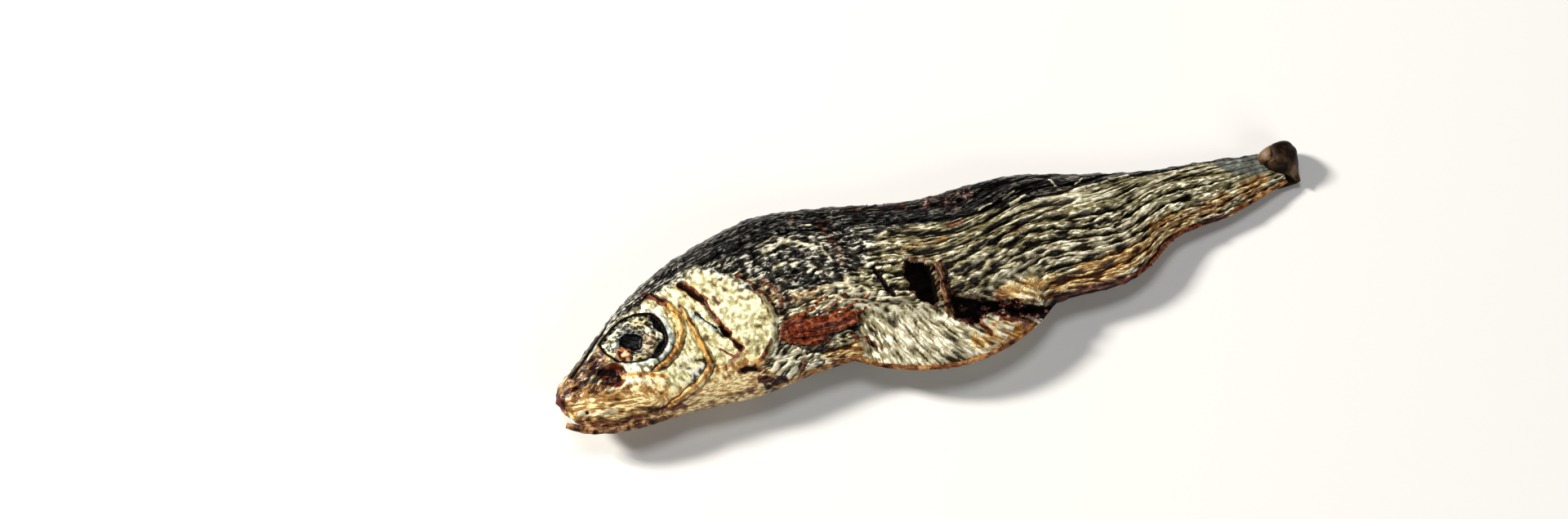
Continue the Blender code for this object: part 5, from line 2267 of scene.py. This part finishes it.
@dataclass(frozen=True)
class Lamp:
    """A square area light aimed at the fish, its place and size in metres."""

    name: str
    place: tuple[float, float, float]
    size: float
    power: float
    colour: Colour

    def build(self) -> None:
        """Hang the light."""
        data = bpy.data.lights.new(self.name, "AREA")
        data.size = self.size
        data.energy = self.power
        data.color = self.colour
        light = bpy.data.objects.new(self.name, data)
        light.location = self.place
        light.rotation_euler = Vector(self.place).to_track_quat("Z", "Y").to_euler()
        bpy.context.scene.collection.objects.link(light)


@dataclass
class Studio:
    """Pale floor, soft lights and the camera at the photograph's viewing angle."""

    azimuth: float = math.radians(-20.0)
    elevation: float = math.radians(68.0)
    distance: float = 0.3
    lens: float = 65.0
    target: tuple[float, float, float] = (-0.0143, 0.00605, 0.004)
    floor_half: float = 2.0
    floor_colour: Colour = (0.74, 0.74, 0.73)
    lamps: tuple[Lamp, ...] = (
        Lamp("key", (-0.66, 0.51, 0.57), 0.16, 17.0, (1.0, 0.95, 0.88)),
        Lamp("fill", (0.30, -0.95, 0.62), 0.60, 4.0, (1.0, 0.97, 0.93)),
        Lamp("top", (-0.06, 0.30, 1.20), 0.36, 4.5, (1.0, 1.0, 1.0)),
    )
    sky: tuple[float, float, float, float] = (0.9, 0.93, 1.0, 1.0)
    sky_strength: float = 0.08

    def build(self) -> None:
        """Build the floor, the lights and the camera."""
        self.floor()
        for lamp in self.lamps:
            lamp.build()
        world = bpy.data.worlds.new("studio")
        world.use_nodes = True
        background = world.node_tree.nodes["Background"]
        background.inputs["Color"].default_value = self.sky
        background.inputs["Strength"].default_value = self.sky_strength
        bpy.context.scene.world = world
        bpy.context.scene.view_settings.view_transform = "Standard"
        self.camera()

    def camera(self) -> None:
        """Place the camera, looking at the target."""
        data = bpy.data.cameras.new("camera")
        data.lens = self.lens
        data.clip_start = 0.01
        camera = bpy.data.objects.new("camera", data)
        bpy.context.scene.collection.objects.link(camera)
        back = Vector((
            math.sin(self.azimuth) * math.cos(self.elevation),
            -math.cos(self.azimuth) * math.cos(self.elevation),
            math.sin(self.elevation),
        ))
        camera.location = Vector(self.target) + back * self.distance
        camera.rotation_euler = back.to_track_quat("Z", "Y").to_euler()
        bpy.context.scene.camera = camera

    def floor(self) -> None:
        """Lay a pale plain floor under the fish."""
        half = self.floor_half
        corners = [(-half, -half, 0.0), (half, -half, 0.0), (half, half, 0.0), (-half, half, 0.0)]
        mesh = bpy.data.meshes.new("floor")
        mesh.from_pydata(corners, [], [(0, 1, 2, 3)])
        material = bpy.data.materials.new("floor")
        material.use_nodes = True
        shader = material.node_tree.nodes["Principled BSDF"]
        shader.inputs["Base Color"].default_value = (*self.floor_colour, 1.0)
        shader.inputs["Roughness"].default_value = 0.8
        mesh.materials.append(material)
        floor = bpy.data.objects.new("floor", mesh)
        bpy.context.scene.collection.objects.link(floor)


def build_fish() -> None:
    """Build every piece of the fish."""
    fish = Anatomy()
    relief = Relief(fish)
    effects, trees = SharedEffects(), GeometryTrees()
    skin, eye = SkinFinish().build(effects), EyeFinish().build(effects)
    fins, tail, strip, rim, crumbs, clots = (
        finish.build(effects) for finish in (FINS, TAIL, STRIP, RIM, CRUMBS, CLOTS)
    )
    SkinLoft(
        relief, Part.BODY, start=16.0, end=fish.standard_length, gap=0.18,
        left_sides=200, right_sides=58,
    ).build(skin)
    SkinLoft(
        relief, Part.HEAD, start=0.33, end=26.2, gap=0.112, left_sides=200, right_sides=72
    ).build(skin)
    rays = StrandSet(relief, trees, "pectoral_rays", FIN_RAYS, flatness=0.26)
    for side in Side:
        Eye(relief, side).build(eye)
        rays.build(side, fins)
    TailRoll(relief).build(tail)
    RibStrip(relief).build(strip)
    belly_rim = (
        Strand(edge_line(fish, (29.5, 50.2), 0.22), 0.28, start=0.4, end=0.8, proud=0.0),
        Strand(edge_line(fish, (74.5, 82.4), 0.24), 0.24, start=0.3, end=0.9, proud=0.0),
    )
    jaw = (Strand(JAW_EDGE, 0.5, start=0.62, end=0.3, proud=0.0),)
    StrandSet(relief, trees, "belly_rim", belly_rim, flatness=0.7).build(Side.LEFT, rim)
    StrandSet(relief, trees, "lower_jaw", jaw, Part.HEAD, flatness=0.9).build(Side.LEFT, strip)
    for name, corners, density, sizes, part, proud, finish in (
        ("cavity_crumbs", BELLY_CAVITY, 0.75, (0.22, 0.55), Part.BODY, 0.25, crumbs),
        ("cheek_crumbs", CHEEK_HOLLOW, 0.9, (0.2, 0.4), Part.HEAD, 0.0, crumbs),
        ("back_crumbs", BACK_EDGE, 0.4, (0.16, 0.34), Part.BODY, -0.06, crumbs),
        ("back_clots", BACK_CLOTS, 0.8, (0.26, 0.5), Part.BODY, -0.02, clots),
    ):
        LumpPatch(relief, trees, name, corners, density, sizes, part, proud).build(finish)
    StubRow(
        relief, trees, "anal_fin_stubs", span=(62.5, 71.5), on_back=False, length=0.45,
        girth=0.2, gap=0.2, lean=(0.85, -0.5, 0.2),
    ).build(fins)
    StubRow(
        relief, trees, "dorsal_fin_stubs", span=(37.5, 46.5), on_back=True, length=0.6,
        girth=0.14, gap=0.5, lean=(0.9, 0.25, 0.2),
    ).build(fins)


def main() -> None:
    """Build the fish on the frame."""
    logging.basicConfig(level=logging.INFO, format="%(name)s: %(message)s")
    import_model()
    build_fish()
    Studio().build()


if __name__ == "__main__":
    main()
